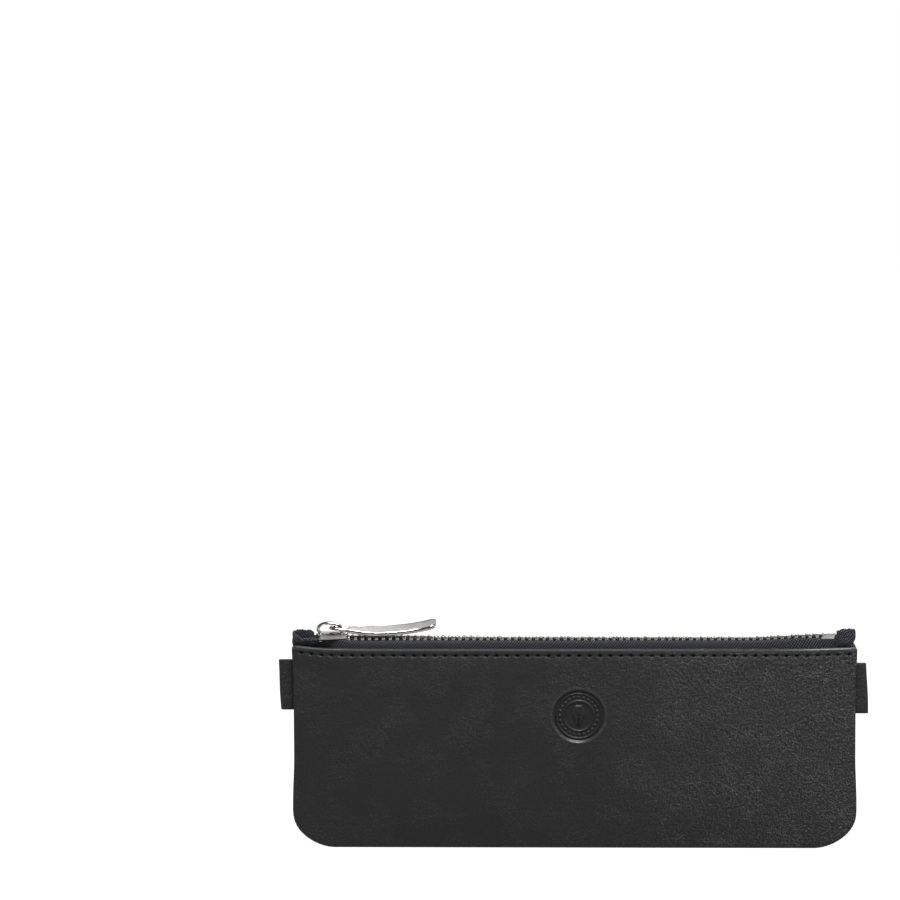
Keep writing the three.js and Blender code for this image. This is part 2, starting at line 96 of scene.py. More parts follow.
# %% Sizes of the leatherwork
corner = 16.0
leather = 1.6
hem = 0.7
hem_height = 9.0
touch = 0.015
seam_depth = 1.7
seam_roll = 1.5
rim_width = 1.6
inner_inset = rim_width + 0.6
side_reach = 34.0
bottom_reach = 50.0
fold_rise = 1.0
stitch_drop = 2.65
stitch_pitch = 3.75
stitch_start = 2.05
mouth_split = 1.0
stamp_x, stamp_z, stamp_radius = 1.8, height - 24.7, 9.7
print(f"leather {leather} mm, folded {hem_height} mm deep at the mouth, stitches {stitch_pitch} mm apart")

# %% [markdown]
# ## Making meshes
# Most pieces here are a grid of points: a sheet, a strip or a tube is rows of points joined by quads. They
# could be pushed about by hand in edit mode, but rows that a formula gives can be changed by one number. One
# small class collects the grids of a piece, gives them a map in millimetres for the grain and the weave,
# welds what meets, and turns the faces outwards.

# %% A class that collects grids


def steps(points):
    """Length from the first point to each point of a line."""
    apart = np.linalg.norm(np.diff(points, axis=0), axis=-1)
    return np.concatenate([[0.0], np.cumsum(apart)])


class Work:
    """The points and faces of one piece, in millimetres."""

    def __init__(self):
        self.points, self.faces, self.maps, self.finishes = [], [], [], []

    def grid(self, grid, around=False, ends=False, finish=0, offset=(0.0, 0.0), front=False):
        """Quads over rows of points. around joins each row's ends, and ends closes the first and last row.

        The map follows the rows and columns, or with front it is the front view: x and z.
        """
        rows, columns = grid.shape[:2]
        start = len(self.points)
        self.points.extend(grid.reshape(-1, 3).tolist())
        middle = grid[rows // 2]
        across = steps(np.vstack([middle, middle[:1]])) + offset[0]
        between = np.linalg.norm(np.diff(grid, axis=0), axis=2).mean(axis=1)
        along = np.concatenate([[0.0], np.cumsum(between)]) + offset[1]
        for i in range(rows - 1):
            for j in range(columns if around else columns - 1):
                k = (j + 1) % columns
                low, high = start + i * columns, start + (i + 1) * columns
                self.faces.append((low + j, low + k, high + k, high + j))
                u, v, s, t = across[j], across[j + 1], along[i], along[i + 1]
                if front:
                    around_quad = ((i, j), (i, k), (i + 1, k), (i + 1, j))
                    self.maps.extend(grid[a, b, ::2] for a, b in around_quad)
                else:
                    self.maps.extend(((u, s), (v, s), (v, t), (u, t)))
                self.finishes.append(finish[j] if isinstance(finish, list) else finish)
        if ends:
            for row, order in ((0, -1), (rows - 1, 1)):
                face = [start + row * columns + j for j in range(columns)][::order]
                self.faces.append(face)
                self.maps.extend((grid[row, f - start - row * columns, 1], along[row]) for f in face)
                self.finishes.append(finish[0] if isinstance(finish, list) else finish)
        return self

    def piece(self, name, *materials, sharp=50):
        mesh = bpy.data.meshes.new(name)
        mesh.from_pydata((np.array(self.points) * mm).tolist(), [], self.faces)
        mesh.polygons.foreach_set("material_index", self.finishes)
        layer = mesh.uv_layers.new(name="skin")
        layer.data.foreach_set("uv", np.array(self.maps, np.float32).ravel())
        work = bmesh.new()
        work.from_mesh(mesh)
        bmesh.ops.remove_doubles(work, verts=work.verts, dist=1e-7)
        bmesh.ops.recalc_face_normals(work, faces=work.faces)
        work.to_mesh(mesh)
        work.free()
        mesh.polygons.foreach_set("use_smooth", [True] * len(mesh.polygons))
        mesh.set_sharp_from_angle(angle=math.radians(sharp))
        for material in materials:
            mesh.materials.append(material)
        made = bpy.data.objects.new(name, mesh)
        bpy.context.scene.collection.objects.link(made)
        return made


print("a piece of work keeps its", list(vars(Work())))

# %% Curves, rulers and noise


def smooth(low, high, value):
    t = np.clip((value - low) / (high - low), 0, 1)
    return t * t * (3 - 2 * t)


def ruler(*marks):
    """Places along a line. Each mark is (where, the step from there on), and the last one is the end."""
    places = []
    for (here, step), (there, _) in zip(marks, marks[1:]):
        count = max(1, math.ceil((there - here) / step - 1e-6))
        places.extend(np.linspace(here, there, count, endpoint=False))
    return np.array(places + [marks[-1][0]])


def grain(x, z, size, seed):
    """Smooth noise between -1 and 1, with features of that size."""
    flat = [noise.noise(Vector((a / size, b / size, seed))) for a, b in zip(x.ravel(), z.ravel())]
    return np.array(flat).reshape(x.shape)


print("a ruler of 5 mm with steps of 2 mm or less:", ruler((0, 2), (5, None)))


# %% [markdown]
# ## Shader maths
# A finish is written as sums, as on paper, instead of nodes that are placed and linked by hand. Wire wraps
# a socket of the shader, and its operators add Math nodes. Every other node comes from Finish.add, which
# sets a node's own settings first and then its sockets.

# %% Wire


class Wire:
    """A socket that a sum can be written with."""

    def __init__(self, finish, socket):
        self.finish, self.socket = finish, socket

    def __add__(self, other):
        return self.finish.maths("ADD", self, other)

    def __sub__(self, other):
        return self.finish.maths("SUBTRACT", self, other)

    def __rsub__(self, other):
        return self.finish.maths("SUBTRACT", other, self)

    def __mul__(self, other):
        return self.finish.maths("MULTIPLY", self, other)

    __radd__ = __add__
    __rmul__ = __mul__


print("a wire knows", [name for name in vars(Wire) if name.endswith(("add__", "sub__", "mul__"))])

# %% Finish


class Finish:
    """One material, and the nodes that give it its look."""

    def __init__(self, name):
        self.material = bpy.data.materials.new(name)
        self.material.use_nodes = True
        self.tree = self.material.node_tree
        self.tree.nodes.clear()

    def add(self, kind, settings=None, values=None, output=0):
        node = self.tree.nodes.new(kind)
        for name, value in (settings or {}).items():
            if name == "stops":
                for element, (place, level) in zip(node.color_ramp.elements, value):
                    element.position, element.color = place, (level, level, level, 1)
            else:
                setattr(node, name, value)
        for name, value in (values or {}).items():
            if isinstance(value, Wire):
                self.tree.links.new(value.socket, node.inputs[name])
            else:
                node.inputs[name].default_value = value
        return Wire(self, node.outputs[output]) if node.outputs else node

    def maths(self, operation, *values):
        return self.add("ShaderNodeMath", {"operation": operation}, dict(enumerate(values)))

    def vector(self, operation, *values, output=0):
        """Vector Math. Its second output is the number that a dot product or a distance gives."""
        return self.add("ShaderNodeVectorMath", {"operation": operation}, dict(enumerate(values)), output)

    def place(self, stretch=(1.0, 1.0, 1.0)):
        """Where a point lies on the skin, in millimetres, times stretch."""
        skin = self.add("ShaderNodeUVMap", {"uv_map": "skin"})
        return self.vector("MULTIPLY", skin, stretch)

    def axis(self, place, number):
        return self.add("ShaderNodeSeparateXYZ", {}, {0: place}, output=number)

    def noise(self, place, size, detail=2.0, roughness=0.5):
        values = {"Vector": place, "Scale": 1 / size, "Detail": detail, "Roughness": roughness}
        return self.add("ShaderNodeTexNoise", {"noise_dimensions": "2D"}, values)

    def ramp(self, value, low, high, black=0.0, white=1.0):
        values = {"Value": value, "From Min": low, "From Max": high, "To Min": black, "To Max": white}
        return self.add("ShaderNodeMapRange", {"interpolation_type": "SMOOTHSTEP"}, values)

    def blend(self, factor, first, second):
        values = {0: factor, 6: first, 7: second}
        return self.add("ShaderNodeMix", {"data_type": "RGBA"}, values, output=2)

    def bump(self, height, depth, strength=1.0):
        values = {"Height": height, "Distance": depth * mm, "Strength": strength}
        return self.add("ShaderNodeBump", {}, values)

    def done(self, **sockets):
        named = {key.replace("_", " ").title(): value for key, value in sockets.items()}
        named = {key.replace("Ior", "IOR"): value for key, value in named.items()}
        shader = self.add("ShaderNodeBsdfPrincipled", {}, named)
        self.add("ShaderNodeOutputMaterial", {}, {"Surface": shader})
        return self.material


print("a finish knows", [name for name in vars(Finish) if not name.startswith("_")])


# %% [markdown]
# ## The leather
# Black drum-dyed leather is dark, and its look is in its surface: rounded pebbles about a millimetre across
# with fine valleys between them, pores, and a dull sheen that changes a little from place to place. The hide
# is finer at the left end and coarser at the right, and the folded edges are rubbed to a soft gloss.
# A scanned hide would give this too, but it would repeat and could not follow the case. Here the pebbles are
# the cells of a Voronoi pattern on a gently bent map, and the bump follows their rounded tops. Pale flecks
# on the pores and along the creases are painted highlights: the glints that the pebble tops catch are put
# into the base colour, with more of them at the coarse right end.

# %% Leather finish


def leather_finish(name, stamped=False):
    hide = Finish(name)
    place = hide.place()
    wander = {"Vector": place, "Scale": 0.45}
    drift = hide.add("ShaderNodeTexNoise", {"noise_dimensions": "2D"}, wander, output=1)
    bent = hide.vector("MULTIPLY_ADD", drift, (1.6,) * 3, place)
    flat = {"voronoi_dimensions": "2D"}
    pebbles = hide.add("ShaderNodeTexVoronoi", {**flat, "feature": "SMOOTH_F1"},
                       {"Vector": bent, "Scale": 0.95, "Smoothness": 0.3})
    turned = {"Vector": bent, "Angle": 0.9}
    slanted = hide.add("ShaderNodeVectorRotate", {"rotation_type": "Z_AXIS"}, turned)
    slanted = hide.vector("MULTIPLY", slanted, (0.3, 1.0, 1.0))
    creases = hide.add("ShaderNodeTexVoronoi", {**flat, "feature": "DISTANCE_TO_EDGE"},
                       {"Vector": slanted, "Scale": 0.33})
    across, up = hide.axis(place, 0), hide.axis(place, 1)
    patches = hide.ramp(hide.noise(place, 15), 0.42, 0.62)
    coarse = hide.ramp(across, -20, 100) * 0.8 + patches * 0.2
    pores = hide.noise(bent, 0.56, 3, 0.6)
    lines = (1 - hide.ramp(creases, 0.0, 0.05)) * hide.ramp(across, -5, 60) * patches
    # Painted highlights: pale flecks on the pores and along the creases stand for the glints on the pebble
    # tops, with more at the coarse right end.
    painted_glints = hide.ramp(pores, 0.52, 0.72) * (0.07 + 0.93 * coarse) + lines * 0.3
    relief = (1 - pebbles) * (0.25 + 1.0 * coarse) + pores * (0.6 + 0.9 * coarse) - lines * 0.6
    shine = hide.ramp(pebbles, 0.05, 0.6, 0.40, 0.58) + hide.noise(place, 7, 3) * 0.1
    dark, light = (0.0034, 0.0034, 0.0036, 1), (0.046, 0.045, 0.045, 1)
    edge = hide.ramp(up, height - 1.1, height - 0.2)
    side = hide.ramp(hide.maths("ABSOLUTE", across), 70, 98)
    gloss = edge * (0.05 + 1.9 * side * hide.noise(place, 4))
    if stamped:
        out = hide.vector("DISTANCE", place, (stamp_x, stamp_z, 0), output=1)
        open_skin = hide.ramp(out, stamp_radius - 0.5, stamp_radius + 0.1)
        rim_inside = hide.ramp(out, stamp_radius - 1.0, stamp_radius - 0.4)
        rim_outside = hide.ramp(out, stamp_radius, stamp_radius + 0.8)
        gloss = gloss + rim_inside * (1 - rim_outside) * 0.6
        # Inside the stamp there are few painted highlights and a flatter bump. The colour there is darker:
        # partly the pressed leather's own tone, partly painted shade for the recess.
        painted_glints = painted_glints * (0.12 + 0.88 * open_skin)
        relief = relief * (0.3 + 0.7 * open_skin)
        dark = hide.blend(open_skin, (0.0025, 0.0025, 0.0027, 1), dark)
    # The base colour carries the painted highlights of the pebbles, blended from dark towards light.
    return hide.done(
        base_color=hide.blend(painted_glints, dark, light),
        roughness=shine,
        specular_ior_level=0.17,
        coat_weight=gloss * 0.6,
        coat_roughness=0.3,
        normal=hide.bump(relief, 0.3, 1.0),
    )


black_leather = leather_finish("black_leather")
stamped_leather = leather_finish("stamped_leather", stamped=True)
print("leather nodes", len(black_leather.node_tree.nodes), len(stamped_leather.node_tree.nodes))

# %% [markdown]
# ## Cloth and thread
# The zip's tape is a twill: its ribs run at a slant. The lining is a plain weave, and the thread is twisted.
# All are near black, so the weave shows as small relief and a change of tone. On the tape that change of
# tone
# follows the relief: the raised yarns are painted lighter as a highlight, and the hollows darker as painted
# shade.
# Both cloths are made of sines over the map rather than a ready-made pattern, so that the yarn's pitch is a
# size in millimetres. Noise that is squeezed along one way is enough for the thread.

# %% Tape, lining and thread finishes
twill_pitch = 1.02
twill_slope = 0.8
lining_pitch = 0.55


def twill_finish():
    cloth = Finish("zip_tape_twill")
    place = cloth.place((2 * math.pi / twill_pitch,) * 3)
    rib = cloth.maths("SINE", cloth.vector("DOT_PRODUCT", place, (-twill_slope, 1, 0), output=1))
    cross = cloth.maths("SINE", cloth.vector("DOT_PRODUCT", place, (1.3, 0.7, 0), output=1))
    yarns = cloth.noise(cloth.place((1.0, 2.0, 1.0)), 0.5, 2)
    relief = rib * 0.5 + cross * 0.3 + yarns * 1.2
    # Painted highlight and shade: the crests of the relief get the lighter colour, and the hollows the
    # darker one.
    valley, crest = (0.0015, 0.0016, 0.002, 1), (0.045, 0.047, 0.056, 1)
    colour = cloth.blend(cloth.ramp(relief, 0.55, 1.3), valley, crest)
    return cloth.done(
        base_color=colour,
        roughness=cloth.ramp(rib, -1, 1, 0.9, 0.7),
        specular_ior_level=0.1,
        normal=cloth.bump(relief, 0.14, 0.9),
    )


def lining_finish():
    cloth = Finish("dark_lining")
    place = cloth.place((2 * math.pi / lining_pitch, 2 * math.pi / lining_pitch, 1))
    weave = cloth.maths("SINE", cloth.axis(place, 0)) * cloth.maths("SINE", cloth.axis(place, 1))
    slub = cloth.noise(cloth.place((1, 5, 1)), 2.0, 3)
    colour = cloth.blend(slub, (0.002, 0.0022, 0.0034, 1), (0.009, 0.0095, 0.013, 1))
    return cloth.done(
        base_color=colour,
        roughness=cloth.ramp(weave, -1, 1, 0.95, 0.75),
        specular_ior_level=0.12,
        normal=cloth.bump(weave + slub, 0.08, 0.7),
    )


def thread_finish():
    yarn = Finish("black_thread")
    twist = yarn.noise(yarn.place((6, 1, 1)), 1.0, 2)
    colour = yarn.blend(twist, (0.003, 0.003, 0.003, 1), (0.011, 0.011, 0.011, 1))
    return yarn.done(base_color=colour, roughness=yarn.ramp(twist, 0.3, 0.7, 0.45, 0.7),
                     normal=yarn.bump(twist, 0.05))


tape_twill = twill_finish()
dark_lining = lining_finish()
black_thread = thread_finish()
print("cloth finishes", tape_twill.name, dark_lining.name, black_thread.name)

# %% [markdown]
# ## Metal
# The slider, the stops and the teeth are nickel plate. Polished nickel is a little warm and shows faint
# rub marks. The teeth are paler but less smooth, and the pull's face is satin-brushed. One recipe with
# different tones, roughness and rub marks makes all three, because the metal under them is the same.

# %% Metal finishes


def nickel_finish(name, light, dark, smoothest, roughest, marks=1.0):
    plate = Finish(name)
    place = plate.place()
    cloud = plate.noise(place, 3.5, 3)
    scratches = plate.noise(plate.place((0.6, 9.0, 1.0)), 1.0, 3)
    colour = plate.blend(plate.ramp(cloud, 0.3, 0.7), dark, light)
    return plate.done(
        base_color=colour,
        metallic=1.0,
        roughness=plate.ramp(cloud, 0.3, 0.7, smoothest, roughest),
        normal=plate.bump(scratches, 0.012 * marks, 0.5),
    )


polished = nickel_finish("polished_nickel", (0.32, 0.315, 0.305, 1), (0.19, 0.187, 0.178, 1), 0.1, 0.2)
tooth_metal = nickel_finish("tooth_nickel", (0.50, 0.485, 0.45, 1), (0.20, 0.19, 0.165, 1), 0.2, 0.36)
satin = nickel_finish("satin_nickel", (0.37, 0.365, 0.355, 1), (0.33, 0.325, 0.315, 1), 0.32, 0.4, 2.5)
print("metal finishes", polished.name, tooth_metal.name, satin.name)

# %% [markdown]
# ## The shape of the case
# A sewn pouch is a pillow: flat at its seam and full in the middle. It could be blown up by a cloth
# simulation, but a formula gives the same pillow each time, and every layer can follow it. depth says how
# far the leather stands from the middle plane: a tight roll at the turned seam, then the pillow. A layer
# under the leather subtracts what lies over it.

# %% The surface


def outline(z, inside=0.0):
    """Half the width of the case at height z, that far inside its edge."""
    radius = corner - inside
    up = np.clip(radius - (z - inside), 0, radius)
    waist = 0.6 * (1 - smooth(height - 13, height - 1, z)) * smooth(18, 34, z)
    return half_width - corner + np.sqrt(radius**2 - up**2) - waist


def lift(x, z):
    """How far the ends of the mouth rise, where the tape ends fill them."""
    left = 0.9 * smooth(half_width - 15, half_width, -x) ** 1.4
    right = 0.2 * smooth(half_width - 17, half_width, x)
    return (left + right) * smooth(height - 16, height - 3, z)


def settle(z):
    """The lower corners sag a little, so their curve is lower than it is wide."""
    return z - 2.2 * smooth(0, corner, z) * (1 - smooth(corner, corner + 20, z))


def inset(x, z):
    """How far a point lies inside the outline."""
    beyond = np.abs(x) - (half_width - corner)
    below = corner - z
    rounded = (beyond > 0) & (below > 0)
    straight = np.minimum(half_width - np.abs(x), z)
    return np.where(rounded, corner - np.hypot(beyond, below), straight)


def depth(x, z, under=0.0):
    side = np.clip((half_width - np.abs(x)) / side_reach, 0, 1)
    foot = np.clip(z / bottom_reach, 0, 1)
    pillow = (1 - (1 - side) ** 2.3) * (1 - (1 - foot) ** 2.1)
    roll = np.sqrt(1 - (1 - np.clip(inset(x, z) / seam_roll, 0, 1)) ** 2)
    out = seam_depth + seam_roll * roll + (fullness - seam_depth - seam_roll) * pillow
    return np.maximum(out - under, touch)


middle_depth, edge_depth = float(depth(0.0, height / 2)), float(depth(half_width, height / 2))
print(f"half the case is {middle_depth:.2f} mm deep in the middle and {edge_depth:.2f} mm at the edge")


# %% [markdown]
# ## Relief of the leather
# A needle pulls a dimple into the leather at every hole, and the thread lies in a shallow groove. The stamp
# is pressed in. Its mark here is plain: two rings, a circle of dots and a pen nib. Long soft waves keep the
# panel from looking machined. All of it moves the mesh's own points, by sums of soft bumps, because a
# painted bump looks flat at the silhouette and is lost when the mesh is used alone.

# %% Relief
dot_count, dot_circle = 24, 6.85


def stitches(x, z):
    up = z - (height - stitch_drop)
    nearest = np.abs(((x - stitch_start) / stitch_pitch + 0.5) % 1 - 0.5) * stitch_pitch
    groove = 0.06 * np.exp(-((up / 0.5) ** 2))
    hole = 1.3 * np.exp(-((nearest / 0.55) ** 2) - (up / 0.42) ** 2)
    pull = 0.10 * np.exp(-((nearest / 0.95) ** 2) - ((up + 0.9) / 0.8) ** 2)
    return -(groove + hole + pull) * smooth(0.8, 2.2, half_width - np.abs(x))


def nib(across, up):
    """1 on a pen nib that points down, 0 outside it."""
    along = (up + 4.3) / 8.2
    wide = 2.2 * np.clip(along / 0.62, 0, 1) ** 0.8 * (1 - 0.42 * smooth(0.62, 1.0, along))
    inside = smooth(-0.12, 0.22, wide - np.abs(across))
    body = inside * smooth(0, 0.03, along) * smooth(1.0, 0.97, along)
    slit = np.exp(-((across / 0.16) ** 2)) * smooth(0.1, 0.0, up)
    vent = np.exp(-((np.hypot(across, up - 0.25) / 0.5) ** 4))
    return body * (1 - np.clip(slit + vent, 0, 1))


def stamp(x, z):
    across, up = x - stamp_x, z - stamp_z
    out = np.hypot(across, up)
    floor = -0.75 * (1 - smooth(stamp_radius - 0.75, stamp_radius, out))
    burr = 0.14 * np.exp(-(((out - stamp_radius - 0.35) / 0.4) ** 2))
    rings = sum(0.42 * np.exp(-(((out - ring) / 0.26) ** 2)) for ring in (8.2, 5.5))
    turn = np.arctan2(up, across) / (2 * np.pi) * dot_count
    dots = np.hypot(out - dot_circle, ((turn + 0.5) % 1 - 0.5) * dot_circle * 2 * np.pi / dot_count)
    return floor + burr + rings + 0.4 * np.exp(-((dots / 0.42) ** 4)) + 0.5 * nib(across, up)


def waves(x, z, seed):
    calm = smooth(0.5, 8, inset(x, z)) * smooth(0, 6, height - 3 - z)
    long = 0.30 * grain(x, z * 0.8, 38, seed) + 0.10 * grain(x, z, 13, seed + 3)
    creased = smooth(20, 95, x) * (0.05 * grain(x + 0.35 * z, z, 3.2, seed + 5))
    return (long + creased) * calm


print(f"a stitch hole is {-float(stitches(stitch_start, height - stitch_drop)):.2f} mm deep")


# %% [markdown]
# ## The leather panels
# A panel is a shell: an outer and an inner skin with the same grid, and rings of points that lead from one
# to the other. Along the seam the rings turn under to the middle plane, which makes the tight groove between
# the two panels. Along the mouth they make the folded top edge. A Solidify modifier would be shorter, but it
# gives square edges. The grid is finer at the holes and the stamp, where the relief is.
# The back wall swings away when the zip opens while its ends stay sewn, so it is made in a left and a right
# half.

# %% Grid and skin of a panel
fine_step, fine_reach = 0.24, stamp_radius + 1.1


def panel_columns(fine):
    edge = half_width - seam_roll * (1 - np.cos(np.radians(np.arange(0, 91, 18))))
    holes = np.arange(-28, 28) * stitch_pitch + stitch_start
    near = np.array([-0.85, -0.4, 0.0, 0.4, 0.85, stitch_pitch / 2])
    rim = half_width - 2.3
    places = [edge, -edge, (holes[:, None] + near).ravel(), [rim, -rim, mouth_split]]
    if fine:
        places.append(ruler((stamp_x - fine_reach, fine_step), (stamp_x + fine_reach, None)))
    places = np.unique(np.concatenate(places).round(4))
    keep = np.concatenate([[True], np.diff(places) > 0.09])
    return places[keep & (np.abs(places) <= half_width)]


def panel_rows(fine):
    bottom = corner * (1 - np.cos(np.radians(np.arange(0, 91, 6))))
    low, high = stamp_z - fine_reach, stamp_z + fine_reach
    step = fine_step if fine else 1.2
    top = (height - 3.6, fine_step), (height - fold_rise, None)
    mid = ruler((corner, 1.2), (low, step), (high, 1.1), *top)
    return np.concatenate([bottom, mid[1:]])


def skin(columns, rows, under, inside, relief=None, top=None):
    """A grid of points on the front of the case, at a depth under the leather's outside."""
    low, high = inside, rows[-1] if top is None else top
    z = low + (rows - rows[0]) * (high - low) / (rows[-1] - rows[0])
    x = columns[None, :] * outline(z, inside)[:, None] / half_width
    z = np.broadcast_to(z[:, None], x.shape)
    cover = under(z) if callable(under) else under
    y = depth(x, z, cover)
    if relief is not None:
        y = y + relief(x, z)
    return np.stack([x, -y, settle(z) + lift(x, z)], axis=-1)


def border(grid):
    """The points round a grid, anticlockwise from its lowest left corner."""
    return np.concatenate([grid[0, :-1], grid[:-1, -1], grid[-1, :0:-1], grid[:0:-1, 0]])


print("panel grid", panel_columns(True).size, "x", panel_rows(True).size, "points")

# %% Edges of a panel


def cut_edge(start, end):
    """The straight edge where a panel is split in two halves."""
    return start + np.linspace(0, 1, 7)[:, None] * (end - start)


def folded_edge(start, end):
    """Half a turn over the top, where the leather is folded."""
    turn = np.linspace(0, np.pi, 7)[:, None]
    half = (start - end) / 2
    rise = min(abs(half[1]), fold_rise)
    return (start + end) / 2 + half * np.cos(turn) + np.sin(turn) * (0, 0, rise)


def turned_edge(start, end, at_foot):
    """A quarter turn inwards to the middle plane, where the leather is sewn and turned."""
    sideways = start[0] - np.clip(start[0], corner - half_width, half_width - corner)
    out = np.array([0.0, 0.0, -1.0]) if at_foot else np.array([sideways, 0, min(0.0, start[2] - corner)])
    out = out / max(np.linalg.norm(out), 1e-9)
    turn = np.linspace(0, np.pi / 2, 5)[:, None]
    ring = np.zeros((7, 3))
    ring[:5] = start - out * rim_width * (1 - np.cos(turn))
    ring[:5, 1] = -(touch + (abs(start[1]) - touch) * (1 - np.sin(turn[:, 0])))
    ring[5] = start - out * inner_inset
    ring[5, 1] = -touch
    ring[6] = end
    return ring


def edges(columns, rows, outer, inner):
    """Rings of points that lead from the border of the outer skin to that of the inner one."""
    along, up = columns.size - 1, rows.size - 1
    kinds = ["seam"] * along + ["right"] * up + ["fold"] * along + ["left"] * up
    kinds[along + up] = "right"
    corners = (0, along, along + up, 2 * along + up)
    cut = {"left": columns[0] > 1 - half_width, "right": columns[-1] < half_width - 1}
    rings = []
    for b, (kind, start, end) in enumerate(zip(kinds, border(outer), border(inner))):
        if cut.get(kind, False) and b not in corners:
            rings.append(cut_edge(start, end))
        elif kind == "fold" or (cut.get(kind, False) and start[2] > corner):
            rings.append(folded_edge(start, end))
        else:
            rings.append(turned_edge(start, end, kind == "seam"))
    return np.stack(rings, axis=1)


def thickness(z):
    return leather + hem * smooth(height - hem_height - 0.4, height - hem_height + 0.4, z)


print(f"leather at the fold {float(thickness(height)):.1f} mm thick")

# %% Panels


def panel(name, material, columns, rows, relief, side=1):
    outer = skin(columns, rows, 0.0, 0.0, relief)
    inner = skin(columns, rows, thickness, inner_inset)
    rings = edges(columns, rows, outer, inner)
    flip = np.array([1, side, 1])
    work = Work()
    work.grid(outer * flip, front=True).grid(rings * flip, around=True, front=True)
    work.grid(inner * flip, front=True)
    return work.piece(name, material, sharp=70)


def front_relief(x, z):
    calm = smooth(stamp_radius, 16, np.hypot(x - stamp_x, z - stamp_z))
    return stitches(x, z) + stamp(x, z) + waves(x, z, 1.7) * calm


def back_relief(x, z):
    return stitches(x, z) + waves(x, z, 9.1)


front_panel = panel("leather_front", stamped_leather, panel_columns(True), panel_rows(True), front_relief)
back_columns = panel_columns(False)
back_rows = panel_rows(False)
left_half = back_columns[back_columns <= mouth_split + 1e-6]
right_half = back_columns[back_columns >= mouth_split - 1e-6]
back_left = panel("leather_back_left", black_leather, left_half, back_rows, back_relief, -1)
back_right = panel("leather_back_right", black_leather, right_half, back_rows, back_relief, -1)
print("panels", [len(p.data.vertices) for p in (front_panel, back_left, back_right)])

# %% [markdown]
# ## Which body a piece follows
# The zip lets the back wall swing away from the front one, but its ends stay sewn, so a hinge would tear it
# there. The front pieces are attached to the case. The soft pieces of the back wall stay where they are
# made, and their frame parts are hidden.

# %% Attaching the pieces
mouth_left = (-98.0, -14.0)
mouth_right = (70.0, 12.0)


def on_case(piece, slot, *nodes):
    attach(piece, "case")
    if nodes:
        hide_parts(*nodes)
    return piece


def on_back(piece, side, slot, *nodes):
    sewn, free = mouth_left if side == "left" else mouth_right
    sewn * mm
    free * mm
    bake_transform(piece)
    if nodes:
        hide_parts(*nodes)
    return piece


on_case(front_panel, "leather", "front_panel")
on_back(back_left, "left", "leather", "back_panel")
on_back(back_right, "right", "leather", "back_panel")
print("the mouth bends between", mouth_left, "and", mouth_right, "mm")

# %% [markdown]
# ## The lining
# The lining is a bag of thin dark cloth, sewn in with the seam, and its top edge is caught under the zip's
# tape. It hangs a little slack, so it has soft folds. It is the same skin as the leather's, further in, with
# noise for its folds: it is held on all sides, so a cloth simulation would hardly move it.

# %% Linings
lining_cloth = 0.5
lining_inset = 4.5
lining_top = height - 2.6
tape_cloth = 0.5


def lining_under(z):
    over_hem = hem + tape_cloth + 0.35
    return leather + 0.25 + over_hem * smooth(height - hem_height - 6, height - hem_height + 1, z)


def lining(name, columns, side, seed):
    rows = np.linspace(0, height - fold_rise, 50)

    def slack(x, z):
        return -0.35 - 0.3 * grain(x, z * 0.5, 12, seed) * smooth(0, 10, lining_top - z)

    outer = skin(columns, rows, lining_under, lining_inset, slack, lining_top)
    inner = outer + np.array([0, lining_cloth, 0])
    outer[..., 1] = np.minimum(outer[..., 1], -touch - lining_cloth)
    inner[..., 1] = np.minimum(inner[..., 1], -touch)
    flip = np.array([1, side, 1])
    work = Work()
    work.grid(outer * flip, front=True).grid(np.stack([border(outer), border(inner)]) * flip, around=True)
    work.grid(inner * flip, front=True)
    piece = work.piece(name, dark_lining, sharp=60)
    return piece


lining_columns = ruler((-half_width, 1.6), (mouth_split, 1.6), (half_width, None))
on_case(lining("lining_front", lining_columns, 1, 2.2), "lining", "front_lining")
lining_halves = {
    "left": lining_columns[lining_columns <= mouth_split + 1e-6],
    "right": lining_columns[lining_columns >= mouth_split - 1e-6],
}
for half, columns in lining_halves.items():
    on_back(lining("lining_back_" + half, columns, -1, 5.5), half, "lining", "back_lining")
    print("back lining", half, "reaches from", round(columns[0]), "to", round(columns[-1]), "mm")

# %% [markdown]
# ## The zip's line
# The chain runs straight from the slider and lifts a little at its right end, where the tapes are turned
# over together. Where the slider holds the rows apart, they part smoothly. Cords, tapes and teeth could each
# be bent by a curve modifier. They are made straight and bent by one function, so they stay together.

# %% The zip's line
chain_lift = 1.25
chain_roll = 0.12
raised_from = mouth_right[0]
row_spread = 1.5
pitch = 2.54
cord_radius = 0.6
cord_from_middle = 2.45
chain_start = slider_low[0] + 1
spread_end = slider_low[0] + 0.75 * (slider_high[0] - slider_low[0])


def settled(points):
    """Lifts the right end of the zip, and lets its back edge sink along the middle and the right."""
    x, y, z = np.moveaxis(points, -1, 0)
    free = smooth(height - 0.5, height + 2.2, z)
    roll = chain_roll * smooth(-75, -5, x)
    rise = chain_lift * smooth(62, 93, x)
    return np.stack([x, y, z + free * (rise - roll * (y + 3))], axis=-1)


def spread(x):
    return row_spread * (1 - smooth(chain_start, spread_end, x))


def pocket(x):
    """How far from the middle the tape lies, behind the hem."""
    return depth(x, np.full_like(x, height - 4.0), leather + hem + 0.1 + tape_cloth / 2)


def flattened(piece):
    """Gives a piece of the raised right end of the zip its own copy of its mesh."""
    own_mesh(piece)
    return piece


def sweep(name, x, section, material, sharp):
    """A closed strip or tube along the zip: section(x) gives a row of points (y, z) for each x."""
    across = section(x)
    grid = np.concatenate([np.broadcast_to(x[:, None, None], across.shape[:2] + (1,)), across], axis=-1)
    return Work().grid(settled(grid), around=True, ends=True).piece(name, material, sharp=sharp)


print(f"the rows part left of x = {spread_end:.1f} mm, and rise {chain_lift} mm at the right")


